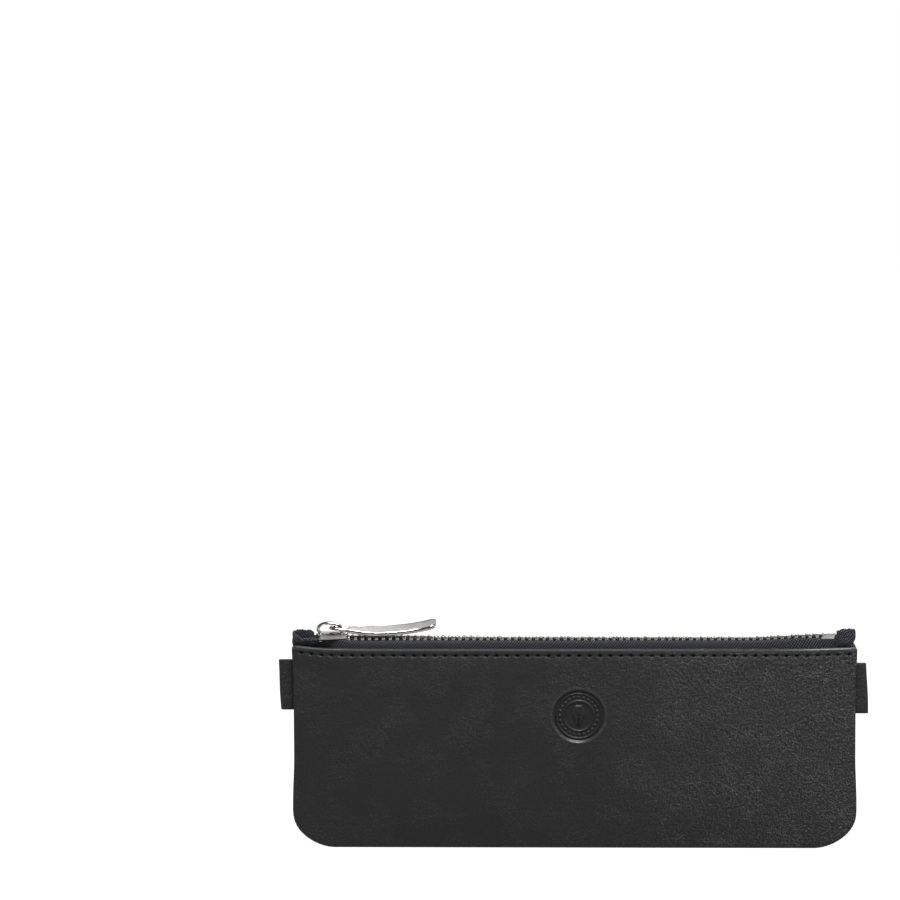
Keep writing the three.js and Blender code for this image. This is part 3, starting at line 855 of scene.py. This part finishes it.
# %% [markdown]
# ## The tapes
# A tape starts on the cord that carries the teeth, bends over and goes down between the hem and the lining,
# where the topstitching catches it. A flat strip with a bend modifier could do it. A curve of four points
# for each place along the zip lets the bend change at the slider and the stop. Its twill ribs are cut into
# the mesh, because they show at the mouth.

# %% Tapes
tape_bottom = zip_z - 15.0


def tape_section(side):
    def section(x):
        beside_stop = smooth(83.5, 87.0, x)
        under_slider = 1 - smooth(slider_high[0] - 1, slider_high[0] + 2, x)
        high = zip_z - 0.75 + 0.6 * under_slider
        near = 2.5 + spread(x)
        into = pocket(x)

        def point(y, z):
            return np.stack([y, np.broadcast_to(z, x.shape)], -1)[:, None]

        start = point(near, high)
        shoulder = point(near + 1.6 - 0.9 * beside_stop, high + 0.05 - 1.15 * beside_stop)
        over, fold = point(into + 0.25, height + 2.6), point(into, height - 0.6)
        t = np.linspace(0, 1, 15)[None, :, None]
        curve = (1 - t) ** 3 * start + 3 * (1 - t) ** 2 * t * shoulder
        curve = curve + 3 * (1 - t) * t**2 * over + t**3 * fold
        down = np.linspace(0, 1, 8)[None, 1:, None]
        line = np.concatenate([curve, fold + (point(into, tape_bottom) - fold) * down], axis=1)
        run = np.gradient(line, axis=1)
        normal = np.stack([-run[..., 1], run[..., 0]], -1) / np.linalg.norm(run, axis=-1, keepdims=True)
        length = np.cumsum(np.linalg.norm(np.diff(line, axis=1, prepend=line[:, :1]), axis=-1), axis=1)
        rib = np.sin((x[:, None] - x[0] - length * twill_slope) * 2 * np.pi / twill_pitch)
        half = tape_cloth / 2
        outside = line - normal * (half + 0.06 * rib[..., None])
        inside = line + normal * half
        loop = np.concatenate([outside, inside[:, ::-1]], axis=1)
        return loop * np.array([-side, 1])

    return section


def tape(name, low, high, side):
    x = ruler((low, 0.27), (high, None))
    piece = sweep(name, x, tape_section(side), tape_twill, sharp=60)
    return piece


tape_from, tape_to = tape_low[0], tape_high[0]
on_case(tape("tape_front", tape_from, tape_to, 1), "zip_tape", "front_tape")
on_back(tape("tape_back_left", tape_from, mouth_split, -1), "left", "zip_tape", "back_tape")
on_back(tape("tape_back_right", mouth_split, tape_to, -1), "right", "zip_tape", "back_tape")

# %% [markdown]
# ## Cords and teeth
# Each tape's edge is woven round a cord, and every tooth is clamped on it: wide legs on the cord, and a
# narrower head with rounded edges that reaches between the heads of the other row. An Array modifier would
# copy one tooth, but the rows part under the slider and rise at the right, so each tooth is made at its own
# place. Both rows are cut where the zip rises, and the back one in the middle too, because those parts move
# differently.

# %% Cords


def cord_section(side):
    def section(x):
        turn = np.linspace(0, 2 * np.pi, 10, endpoint=False)
        centre = np.stack([side * -(cord_from_middle + spread(x)), np.full_like(x, zip_z)], -1)[:, None]
        rib = cord_radius * (1 + 0.05 * np.sin(x * 2 * np.pi / 0.6))
        return centre + rib[:, None, None] * np.stack([np.cos(turn), np.sin(turn)], -1)[None]

    return section


def cord(name, low, high, side):
    return sweep(name, ruler((low, 0.4), (high, None)), cord_section(side), tape_twill, sharp=80)


cord_to = stop_low[0] + 1
on_case(cord("cord_front", tape_from, raised_from, 1), "zip_tape")
flattened(on_case(cord("cord_front_end", raised_from, cord_to, 1), "zip_tape"))
on_back(cord("cord_back_left", tape_from, mouth_split, -1), "left", "zip_tape")
on_back(cord("cord_back_right", mouth_split, raised_from, -1), "right", "zip_tape")
flattened(on_case(cord("cord_back_end", raised_from, cord_to, -1), "zip_tape"))
print(f"cords {cord_to - tape_from:.1f} mm long and {2 * cord_radius} mm thick")

# %% Teeth


def rounded(width, tall, radius, count=3):
    """A rectangle with round corners, as (x, z) points."""
    turn = np.linspace(0, np.pi / 2, count)
    points = []
    for quarter, (a, b) in enumerate(((1, 1), (-1, 1), (-1, -1), (1, -1))):
        angle = turn + quarter * np.pi / 2
        centre = np.array([a * (width / 2 - radius), b * (tall / 2 - radius)])
        points.append(centre + radius * np.stack([np.cos(angle), np.sin(angle)], -1))
    return np.concatenate(points)


def tooth(x, side):
    """Stations from the legs to the head: how far across, then width, height and corner radius."""
    stations = (
        (-3.12, 0.84, 1.05, 0.25), (-3.04, 1.12, 1.50, 0.34), (-2.70, 1.24, 1.90, 0.42),
        (-2.15, 1.24, 2.22, 0.42), (-1.75, 1.20, 2.26, 0.40), (-1.35, 0.98, 2.10, 0.34),
        (-0.60, 0.92, 2.04, 0.32), (0.20, 0.92, 2.04, 0.36), (0.52, 0.84, 1.84, 0.40),
        (0.66, 0.60, 1.40, 0.28),
    )
    rows = []
    for across, width, tall, radius in stations:
        section = rounded(width, tall, min(radius, width / 2 - 0.01))
        y = side * (across - spread(x))
        rows.append(np.stack([x + section[:, 0], np.full(len(section), y), zip_z + section[:, 1]], -1))
    return settled(np.array(rows))


def teeth(name, places, side):
    work = Work()
    for i, x in enumerate(places):
        work.grid(tooth(x, side), around=True, ends=True, offset=(i * 3.7, 0))
    return work.piece(name, tooth_metal, sharp=40)


front_places = np.arange(chain_start + 0.95, stop_low[0] - 0.9, pitch)
back_places = front_places + pitch / 2
back_places = back_places[back_places < stop_low[0] - 0.8]
level, raised = front_places[front_places < raised_from], front_places[front_places >= raised_from]
on_case(teeth("teeth_front", level, 1), "zip_metal", "front_teeth")
flattened(on_case(teeth("teeth_front_end", raised, 1), "zip_metal", "front_teeth"))
back_parts = np.split(back_places, np.searchsorted(back_places, [mouth_split, raised_from]))
on_back(teeth("teeth_back_left", back_parts[0], -1), "left", "zip_metal", "back_teeth")
on_back(teeth("teeth_back_right", back_parts[1], -1), "right", "zip_metal", "back_teeth")
flattened(on_case(teeth("teeth_back_end", back_parts[2], -1), "zip_metal"))
print("teeth", len(front_places), len(back_places))

# %% [markdown]
# ## Topstitching
# A stitch is a short length of thread that comes out of one hole and goes into the next. Its ends dive into
# the dimples, and its middle lies in the groove. A bump could draw it, but real thread has a shadow under
# each end, so every stitch is a small tube that follows the leather.

# %% Topstitching
thread_radius = 0.2


def stitch(hole, side):
    """One stitch as a tube that rises out of one hole and dives into the next."""
    t = np.linspace(0, 1, 11)
    x = hole + 0.3 + t * (stitch_pitch - 0.6)
    z = np.full_like(x, height - stitch_drop)
    y = depth(x, z) - 0.3 - 0.95 * np.abs(2 * t - 1) ** 4
    turn = np.linspace(0, 2 * np.pi, 8, endpoint=False)
    around = thread_radius * (1 + 0.06 * np.sin(t * 34))
    ring = np.stack([np.zeros(8), np.cos(turn), np.sin(turn)], -1)
    path = np.stack([x, -y, z + lift(x, z)], -1)
    return (path[:, None] + around[:, None, None] * ring[None]) * np.array([1, side, 1])


def stitching(name, holes, side):
    work = Work()
    for hole in holes:
        work.grid(stitch(hole, side), around=True, ends=True)
    return work.piece(name, black_thread, sharp=80)


holes = np.arange(-27, 26) * stitch_pitch + stitch_start
on_case(stitching("topstitch_front", holes, 1), "thread", "front_top_stitch")
on_back(stitching("topstitch_back_left", holes[holes < 0], -1), "left", "thread", "back_top_stitch")
on_back(stitching("topstitch_back_right", holes[holes >= 0], -1), "right", "thread", "back_top_stitch")
print("stitches along each side of the mouth", len(holes))

# %% [markdown]
# ## Seam threads
# The side and bottom seam is a lockstitch of two threads, hidden in the turned edge: one lies against the
# front panel and the other against the back one. They run in a U. Since nobody sees single stitches in
# there, each is one smooth tube, and the rear one is cut in the middle.

# %% Seam threads
seam_inset = 3.8
seam_away = 1.15
seam_radius = 0.2
seam_top = 59.0


def seam_line():
    """The U of the seam as (x, z) points, from its left top end to its right one."""
    round_x, radius = half_width - corner, corner - seam_inset
    down = [(-round_x - radius, z) for z in np.arange(seam_top, corner, -2.0)]
    angles = np.radians(np.arange(0, 90, 6))
    turn = [(-round_x - radius * math.cos(a), corner - radius * math.sin(a)) for a in angles]
    flat = [(x, seam_inset) for x in ruler((-round_x, 2.0), (mouth_split, None))]
    left = np.array(down + turn + flat)
    across = [(x, seam_inset) for x in ruler((mouth_split, 2.0), (round_x, None))][1:]
    return np.concatenate([left, np.array(across), (left * (-1, 1))[len(down + turn) - 1::-1]])


def seam_thread(name, line, side):
    run = np.gradient(line, axis=0)
    normal = np.stack([-run[:, 1], run[:, 0]], -1) / np.linalg.norm(run, axis=1, keepdims=True)
    turn = np.linspace(0, 2 * np.pi, 8, endpoint=False)
    rows = []
    for point, out in zip(line, normal):
        flat = point + seam_radius * np.cos(turn)[:, None] * out
        away = -side * (seam_away + seam_radius * np.sin(turn))
        rows.append(np.stack([flat[:, 0], away, flat[:, 1]], -1))
    return Work().grid(np.array(rows), around=True, ends=True).piece(name, black_thread, sharp=80)


seam = seam_line()
left_seam, right_seam = seam[seam[:, 0] <= mouth_split], seam[seam[:, 0] >= mouth_split]
on_case(seam_thread("seam_front", seam, 1), "thread", "seam_needle_thread")
on_back(seam_thread("seam_back_left", left_seam, -1), "left", "thread", "seam_bobbin_thread")
on_back(seam_thread("seam_back_right", right_seam, -1), "right", "thread", "seam_bobbin_thread")
print("seam thread", round(steps(seam)[-1]), "mm long")

# %% [markdown]
# ## Turned-over tape ends
# Beyond the stops the tapes are folded over and sewn into the side seam. Seen from above, one band comes
# along the front, turns round and goes back along the rear. At the right its top edge stands up over the
# chain, and at the left the front half lies low. A cloth simulation would have to make the fold as well as
# its shape. A band along a chosen line, with a crest of chosen height and some crumple, is simpler to steer.

# %% Tape ends


def tape_end(name, side, stations, seed, pinch):
    """A folded band. Each station is (x, y at the foot, y at the crest, height of the crest)."""
    stations = np.array(stations)
    along = steps(stations[:, :2])
    t = np.linspace(0, along[-1], 60)
    line = np.stack([np.interp(t, along, stations[:, i]) for i in range(4)], -1)
    for _ in range(3):
        line[1:-1] = (line[:-2] + line[1:-1] * 2 + line[2:]) / 4
    heading = np.gradient(line[:, :2], axis=0)
    normal = np.stack([heading[:, 1], -heading[:, 0]], -1) / np.linalg.norm(heading, axis=1, keepdims=True)
    low = height - 6.0
    turn = np.linspace(0, np.pi, 7)
    rows = []
    for i, ((x, foot, head, crest), (a, b)) in enumerate(zip(line, normal)):
        uneven = noise.noise(Vector((t[i] * 1.7, seed, 0))) * 0.3
        frayed = noise.noise(Vector((t[i] * 5, seed, 4))) * 0.3
        top = crest + (uneven + frayed)
        half = 0.40 + 0.07 * math.sin(t[i] * 3.1 + seed)
        wall = np.linspace(low, top - half, 22)
        up = np.concatenate([wall, top - half + half * np.sin(turn)[1:-1], wall[::-1]])
        thick = np.concatenate([np.full(22, half), half * np.cos(turn)[1:-1], np.full(22, -half)])
        lean = foot + (head - foot) * smooth(height - 0.6, height + 2.4, up)
        buckle = np.array([noise.noise(Vector((t[i] * 0.55, u * 0.8, seed + 7))) for u in up])
        thick = thick + 0.35 * buckle * smooth(height - 1, height + 1, up)
        waist = pinch * smooth(99.5, 101, x) * np.exp(-(((up - height - 1.3) / 0.7) ** 2))
        rows.append(np.stack([side * (x - waist + a * thick), lean + b * thick, up], -1))
    return Work().grid(np.array(rows), around=True, ends=True).piece(name, tape_twill, sharp=70)


left_stations = (
    (93.2, -2.2, -3.9, 76.5), (94.6, -2.2, -4.1, 76.2), (96.6, -2.1, -3.9, 76.2), (98.6, -1.9, -3.4, 76.8),
    (100.6, -1.5, -2.7, 78.2), (101.8, -0.9, -1.6, 79.2), (102.2, 0.0, 0.0, 79.55), (101.8, 0.9, 1.6, 79.65),
    (100.6, 1.5, 2.6, 79.75), (98.6, 1.9, 3.1, 79.75), (96.6, 2.1, 3.3, 79.65), (95.4, 2.2, 3.3, 79.45),
    (94.8, 2.2, 3.2, 78.65),
)
right_stations = (
    (94.3, -2.0, -2.7, 77.9), (95.2, -2.0, -2.8, 79.2), (96.2, -2.0, -2.9, 80.1), (97.8, -1.9, -2.9, 80.4),
    (99.6, -1.7, -2.6, 80.5), (101.0, -1.3, -2.0, 80.5), (101.8, -0.6, -1.0, 80.4), (102.0, 0.0, 0.0, 80.2),
    (101.8, 0.6, 1.0, 80.2), (101.0, 1.3, 2.0, 80.3), (99.6, 1.7, 2.5, 80.2), (97.8, 1.9, 2.7, 80.0),
    (95.6, 2.0, 2.7, 79.4),
)
left_end = tape_end("tape_end_left", -1, left_stations, 2.5, 0.0)
right_end = tape_end("tape_end_right", 1, right_stations, 6.5, 0.8)
on_case(left_end, "zip_tape", "left_tape_end")
on_case(right_end, "zip_tape", "right_tape_end")
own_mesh(right_end)
print("tape ends stand up to", max(row[3] for row in left_stations + right_stations), "mm high")

# %% [markdown]
# ## Side loops
# Each loop is a strip of the same leather, folded in half with its ends in the seam. From above it is a
# narrow U, so its outline is drawn there and carried up, with the cut edges rounded a little. A bent plane
# with thickness would do as well, but the outline shows the fold's outer and inner radius directly.

# %% Side loops


def loop(name, node, side, tip_below, tip_above):
    low, high = node_box(node)
    tip = (tip_below + tip_above) / 2
    strip, gap = 1.05, 0.12
    outer = strip + gap
    fold = tip - outer
    sewn = half_width - 2.6
    turn = np.radians(np.linspace(-90, 90, 13))
    leaving = [(sewn, outer - 0.25), (half_width, outer - 0.1), (half_width + 1.2, outer)]
    outside = [(x, -y) for x, y in leaving]
    outside += [(fold + outer * math.cos(a), outer * math.sin(a)) for a in turn]
    outside += leaving[::-1]
    inside = [(sewn, gap), (fold, gap)] + [(fold + gap * math.cos(a), gap * math.sin(a)) for a in turn[::-3]]
    inside += [(fold, -gap), (sewn, -gap)]
    ring = np.array(outside + inside)
    tall = high[2] - low[2]
    rows = []
    rounding = ((0, 0.16), (0.06, 0.05), (0.25, 0.0))
    places = [(low[2] + up, cut) for up, cut in rounding]
    places += [(z, 0.0) for z in np.linspace(low[2] + 1, high[2] - 1, 12)]
    places += [(high[2] - up, cut) for up, cut in rounding[::-1]]
    for z, cut in places:
        up = (z - low[2]) / tall
        beyond = np.clip(ring[:, 0] - half_width, 0, None) / (tip - half_width)
        x = ring[:, 0] + beyond * ((tip_above - tip_below) * (up - 0.5) + 0.12 * math.sin(up * 5))
        x, y = side * (x - cut * (beyond > 0.9)), ring[:, 1] * (1 - cut / strip)
        rows.append(np.stack([x, y, np.full(len(ring), z)], -1))
    piece = Work().grid(np.array(rows), around=True, ends=True).piece(name, black_leather, sharp=60)
    print(name, round(tall, 1), "mm tall")
    return on_case(piece, "leather", node)


loop("loop_left", "left_loop", -1, 106.9, 107.8)
loop("loop_right", "right_loop", 1, 107.1, 106.4)

# %% [markdown]
# ## Stops
# Stops are small clips that keep the slider on the zip. The bottom stop is a box pressed on both tapes, and
# the top stops are narrow clips on one tape each. A bevelled cube is close, but a pressed block has a crown
# and a leaning end, so it is lofted from rounded sections.

# %% Stops


def lozenge(name, low, high, lean, crown, material):
    """A small pressed block with round edges. Its left end leans, and its top is crowned."""
    stations = []
    length = high[0] - low[0]
    wide, tall = high[1] - low[1], high[2] - low[2]
    shrinking = ((0, 0.5), (0.02, 0.2), (0.07, 0.0), (0.5, 0.0), (0.93, 0.0), (0.98, 0.2), (1, 0.5))
    for share, shrink in shrinking:
        section = rounded(wide - shrink, tall - shrink, 0.55 - shrink * 0.4, 5)
        bulge = crown * (1 - (2 * section[:, 0] / wide) ** 2) * np.sign(section[:, 1])
        y = (low[1] + high[1]) / 2 + section[:, 0]
        z = (low[2] + high[2]) / 2 + section[:, 1] + bulge
        x = low[0] + share * length + lean * (z - low[2]) / tall * (1 - share)
        stations.append(np.stack([x, y, z], -1))
    return Work().grid(settled(np.array(stations)), around=True, ends=True).piece(name, material, sharp=40)


small = np.array([0, 0.05, 0.1])
bottom = lozenge("stop_bottom", stop_low + small, stop_high - small, 0.9, 0.12, satin)
flattened(on_case(bottom, "zip_metal", "bottom_stop"))
clip_low, clip_high = np.array([-96.6, -3.3, zip_z - 1.4]), np.array([-94.6, -1.5, zip_z - 0.3])
top_front = lozenge("stop_top_front", clip_low, clip_high, 0.2, 0.1, tooth_metal)
on_case(top_front, "zip_metal", "front_top_stop")
back_low, back_high = np.sort([clip_low * (1, -1, 1), clip_high * (1, -1, 1)], axis=0)
top_back = lozenge("stop_top_back", back_low, back_high, 0.2, 0.1, tooth_metal)
on_back(top_back, "left", "zip_metal", "back_top_stop")
print("bottom stop from x =", round(stop_low[0], 1), "to", round(stop_high[0], 1), "mm")

# %% [markdown]
# ## The slider
# The slider's upper plate is pressed with a crown and turned-down sides, the lower plate is flat, and a
# wedge joins them at the wide end. Cutting them from blocks with booleans would leave sharp edges. The plate
# is lofted instead: one closed section is carried along it, and shrinks at both ends to round them.

# %% Slider


def slider_half_width(share):
    wide, narrow = slider_high[1], slider_high[1] - row_spread
    return wide + (narrow - wide) * smooth(0.3, 0.85, share)


def upper_plate():
    rows = []
    wall = 0.7
    tucks = [(0, 1.4), (0.008, 0.9), (0.03, 0.45), (0.07, 0.15)]
    tucks += [(share, 0) for share in (0.12, 0.3, 0.42, 0.54, 0.66, 0.78, 0.88)]
    tucks += [(0.94, 0.1), (0.975, 0.35), (0.992, 0.7), (1, 1.1)]
    for share, tuck in tucks:
        half = slider_half_width(share) - tuck
        top = slider_high[2] - 0.15 - 0.25 * tuck
        edge = slider_high[2] - 1.0 - 0.2 * tuck
        skirt = zip_z + 0.1 + 0.25 * tuck
        turn = np.linspace(0, 1, 13)
        crown_y = half * np.cos(np.pi * turn)
        arch = np.clip(1 - np.abs(crown_y / half) ** 2.6, 0, 1) ** 0.9
        crown_z = edge + (top - edge) * arch
        ceiling = zip_z + 1.32
        inner = half - wall
        outside = [(-half + 0.12, skirt), (-half, skirt + 0.15), (-half, (skirt + edge) / 2)]
        outside += list(zip(crown_y[::-1], crown_z))
        outside += [(half, (skirt + edge) / 2), (half, skirt + 0.15), (half - 0.12, skirt)]
        under = [(inner + 0.1, skirt), (inner, skirt + 0.12), (inner, ceiling - 0.3), (inner - 0.3, ceiling)]
        section = np.array(outside + under + [(-y, z) for y, z in under[::-1]])
        x = plate_from + share * (plate_to - plate_from)
        rows.append(np.column_stack([np.full(len(section), x), section]))
    return np.array(rows)


def lower_plate():
    rows = []
    rounding = ((0, 1.5), (0.02, 0.8), (0.07, 0.3), (0.14, 0), (0.4, 0))
    for share, tuck in rounding + tuple((1 - share, tuck) for share, tuck in rounding[::-1]):
        half = slider_half_width(share) - tuck - 2.1
        section = rounded(2 * half, 0.95, 0.35)
        z = slider_low[2] + 0.55 + section[:, 1]
        x = np.full(len(z), plate_from + share * (plate_to - plate_from))
        rows.append(np.stack([x, section[:, 0], z], -1))
    return np.array(rows)


def wedge():
    rows = []
    for share in np.linspace(0, 1, 5):
        turn = np.linspace(0, 2 * np.pi, 16, endpoint=False)
        x = plate_from + 1.5 * np.cos(turn)
        y = 0.62 * np.sin(turn) * (1.2 - 0.5 * (np.cos(turn) + 1) / 2)
        z = slider_low[2] + 0.6 + share * (slider_high[2] - slider_low[2] - 1.4)
        rows.append(np.stack([x, y, np.full(16, z)], -1))
    return np.array(rows)


slider = Work().grid(upper_plate(), around=True, ends=True).grid(lower_plate(), around=True, ends=True)
slider = slider.grid(wedge(), around=True, ends=True).piece("slider_shell", polished, sharp=45)
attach(slider, "slider")
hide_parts("slider_body")
print(f"slider {plate_to - plate_from:.1f} mm long and {2 * slider_high[1]:.1f} mm wide")

# %% [markdown]
# ## The bail
# The bail is a strap that stands on the slider and carries the pull. Its feet stand closer than its sides. A
# curve object with a bevel would give a round wire. Here a flattened section is carried along the arch, so
# that the strap is wide across the slider and thickens at its feet.

# %% Bail


def tube(path, section):
    """A section carried along a path in the plane y = 0. section(share) gives (out, y) points."""
    run = np.gradient(path, axis=0)
    out = np.stack([-run[:, 1], run[:, 0]], -1) / np.linalg.norm(run, axis=1, keepdims=True)
    rows = []
    for i, (point, normal) in enumerate(zip(path, out)):
        shape = section(i / (len(path) - 1))
        flat = point + shape[:, :1] * normal
        rows.append(np.stack([flat[:, 0], shape[:, 1], flat[:, 1]], -1))
    return np.array(rows)


bail_mid = (bail_low[0] + bail_high[0]) / 2 - 0.6
bail_half = (bail_high[0] - bail_low[0]) / 2 - 0.62
bail_top = bail_high[2] - 0.85
bail_foot = slider_high[2] - 0.7


def bail_path():
    """A horseshoe: its feet stand closer than its sides, which bow out over them."""
    rise = bail_top - bail_foot
    left = [(bail_mid - bail_half + 1.5, bail_foot - 0.2), (bail_mid - bail_half + 0.75, bail_foot + 0.45)]
    right = [(bail_mid + bail_half - 0.2, bail_foot + 0.3), (bail_mid + bail_half - 0.4, bail_foot - 0.2)]
    arch = []
    for angle in np.radians(np.linspace(163, 8, 31)):
        c, s = math.cos(angle), math.sin(angle)
        arch.append((bail_mid + bail_half * math.copysign(abs(c) ** 0.8, c), bail_foot + rise * s**0.66))
    return np.array(left + arch + right)


def bail_section(share):
    wide = 1.35 + 0.14 * math.cos(math.pi * (2 * share - 1)) ** 2 + 0.5 * abs(2 * share - 1) ** 3
    turn = np.linspace(0, 2 * np.pi, 18, endpoint=False)
    out = 0.62 * np.sign(np.sin(turn)) * np.abs(np.sin(turn)) ** 0.8
    return np.stack([out, wide * np.sign(np.cos(turn)) * np.abs(np.cos(turn)) ** 0.8], -1)


strap = tube(bail_path(), bail_section)
bail = Work().grid(strap, around=True, ends=True).piece("bail_strap", polished, sharp=50)
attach(bail, "slider")
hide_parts("slider_bail")
print(f"bail {2 * bail_half:.1f} mm long, its top at {bail_top:.1f} mm")

# %% [markdown]
# ## The pull
# The pull is a leaf of nickel plate: bowed like a spoon, with a polished rim round a satin face, and an eye
# at its near end that holds the bail. One section with the rim in it is carried along the leaf and widens
# with it. Modelling a flat plate and bending it would also do, but the bow and the twist are then hard to
# change. The face has its own finish, given by the columns of the section.

# %% Pull
hinge = next(j for j in frame["joints"] if j["name"] == "pull_swing")["pos_m"]
bar_x, bar_z = hinge[0] / mm, hinge[2] / mm
pull_length = pull_high[0] + 0.9 - bar_x
pull_dip, pull_tip, pull_bend = 1.3, 1.75, 3.3
neck = 6.3
round_from = 0.945


def pull_rise(t):
    return -4 * pull_dip * t * (1 - t) + pull_tip * t**pull_bend


def pull_lean(t):
    """How much the leaf is turned about its length: its near edge hangs lower."""
    return 0.04 + 0.13 * smooth(0.1, 0.45, t) + 0.12 * smooth(0.55, 0.9, t)


def pull_half(t):
    belly = 6.0 + 3.0 * np.sin(np.pi * np.minimum(1, t / 0.9)) ** 1.1
    wide = belly + (6.6 - belly) * smooth(0.6, 1.0, t)
    end = np.sqrt(np.clip(1 - (np.clip(t - round_from, 0, 1) / 0.0555) ** 2, 0, 1))
    return wide / 2 * end


def blade():
    tip = round_from + 0.0552 * np.sin(np.radians(np.arange(10, 90, 8)))
    t = np.concatenate([np.linspace(neck / pull_length, round_from, 40), tip])
    top = ((-1.0, -0.30), (-0.99, 0.16), (-0.975, 0.36), (-0.94, 0.58), (-0.91, 0.64), (-0.87, 0.63))
    top += ((-0.84, 0.54), (-0.51, 0.52), (0, 0.52))
    half = list(top) + [(-a, b) for a, b in top[-2::-1]]
    under = [(0.98, -0.6), (0.9, -0.8), (0.4, -0.82), (0, -0.82), (-0.4, -0.82), (-0.9, -0.8), (-0.98, -0.6)]
    section = np.array(half + under)
    rows = []
    for share in t:
        wide = pull_half(share)
        part = np.abs(section[:, 0])
        rim = wide - (1 - part) * 3.0 * min(1.0, wide / 3.0)
        across = np.sign(section[:, 0]) * np.where(part > 0.5, rim, part * wide)
        z = bar_z + pull_rise(share) + section[:, 1] + pull_lean(share) * across
        rows.append(np.stack([np.full(len(section), bar_x + share * pull_length), across, z], -1))
    return np.array(rows)


def eye():
    """A loop of rod round the eye: from one shoulder of the blade, round the bail, to the other shoulder."""
    half = 2.55
    points = [(neck + 1.6, -half + 0.35), (neck, -half + 0.1), (4.0, -half), (2.0, -half)]
    for a in np.radians((20, 45, 70, 90)):
        points.append((1.4 * (1 - math.sin(a)), -half + 1.2 - 1.2 * math.cos(a)))
    points += [(x, -y) for x, y in points[::-1]]
    line = np.array(points)
    run = np.gradient(line, axis=0)
    normal = np.stack([run[:, 1], -run[:, 0]], -1) / np.linalg.norm(run, axis=1, keepdims=True)
    turn = np.linspace(0, 2 * np.pi, 12, endpoint=False)
    wide, tall = 0.66 * np.cos(turn), 0.6 * np.sin(turn)
    rows = []
    for (x, y), (a, b) in zip(line, normal):
        rise = pull_rise(x / pull_length)
        rows.append(np.stack([bar_x + x + a * wide, y + b * wide, bar_z + rise + tall], -1))
    return np.array(rows)


blade_finish = [1 if 6 <= column < 10 else 0 for column in range(24)]
pull = Work().grid(blade(), around=True, ends=True, finish=blade_finish).grid(eye(), around=True, ends=True)
pull = pull.piece("pull_leaf", polished, satin, sharp=35)
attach(pull, "pull")
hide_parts("pull_tab")
print(f"pull {pull_length:.1f} mm long, turning at x = {bar_x:.1f} and z = {bar_z:.1f} mm")

# %% [markdown]
# ## Room, light and camera
# Black leather is a lesson in light: a lamp in front would turn it grey, so the strongest one stands high
# up and a little to the front, where it grazes the leather and draws the folded edge. Weak lamps at the
# sides and behind, and a dim even sky, open the shadows. The floor is a sheet of pale paper that runs up
# into a wall. Most of its white is its own glow, because so little light falls on it.

# %% Floor
bend = 1.5
sweep_points = [(-6.0, 0.0), (3.0, 0.0)]
for angle in np.radians(np.arange(10, 91, 10)):
    sweep_points.append((3.0 + bend * math.sin(angle), bend - bend * math.cos(angle)))
sweep_points.append((3.0 + bend, 6.0))
cove = np.array([[(x, y, z) for y, z in sweep_points] for x in (-8.0, 8.0)]) / mm
paper = Finish("pale_paper")
paper_tone = paper.noise(paper.place(), 900, 2)
pale_paper = paper.done(
    base_color=paper.blend(paper_tone, (0.055, 0.055, 0.055, 1), (0.065, 0.065, 0.065, 1)),
    roughness=0.9,
    specular_ior_level=0.1,
    emission_color=(1, 1, 1, 1),
    emission_strength=0.98,
)
floor = Work().grid(cove).piece("floor", pale_paper)
print("floor of", len(sweep_points) - 1, "strips")

# %% Lights


def area_light(name, place, aim, wide, tall, power):
    data = bpy.data.lights.new(name, "AREA")
    data.shape, data.size, data.size_y, data.energy = "RECTANGLE", wide, tall, power
    lamp = bpy.data.objects.new(name, data)
    lamp.location = place
    lamp.rotation_euler = (Vector(aim) - Vector(place)).to_track_quat("-Z", "Y").to_euler()
    bpy.context.scene.collection.objects.link(lamp)
    print(f"{name} light, {power} W from {place}")


area_light("key", (0.15, -0.6, 1.25), (0, 0, 0.05), 0.7, 0.45, 70)
area_light("rim", (0.3, 0.9, 0.9), (0, 0, 0.07), 0.7, 0.4, 6)
area_light("side", (1.1, -0.45, 0.6), (0, 0, 0.05), 0.3, 0.6, 7)
area_light("fill", (-1.2, -0.3, 0.5), (0, 0, 0.05), 0.3, 0.6, 5)

world = bpy.data.worlds.new("studio")
bpy.context.scene.world = world
world.use_nodes = True
sky = world.node_tree
sky.nodes["Background"].inputs["Color"].default_value = (1, 1, 1, 1)
sky.nodes["Background"].inputs["Strength"].default_value = 0.16
bpy.context.scene.view_settings.view_transform = "Standard"

# %% Camera
lens, sensor = 150.0, 36.0
elevation = math.radians(9.5)
aim = Vector((0, 0, 0.0366))
distance = 1.374
right_of_middle, below_middle = 0.0330, 0.0794
camera_data = bpy.data.cameras.new("camera")
camera_data.lens, camera_data.sensor_width = lens, sensor
camera = bpy.data.objects.new("camera", camera_data)
bpy.context.scene.collection.objects.link(camera)
bpy.context.scene.camera = camera
back = Vector((0, -math.cos(elevation), math.sin(elevation)))
camera.location = aim + back * distance
toward = Vector((right_of_middle, -below_middle, -1))
aside = toward.rotation_difference(Vector((0, 0, -1)))
camera.rotation_mode = "QUATERNION"
camera.rotation_quaternion = (-back).to_track_quat("-Z", "Y") @ aside
print(f"camera with a {lens:.0f} mm lens, {distance} m away")
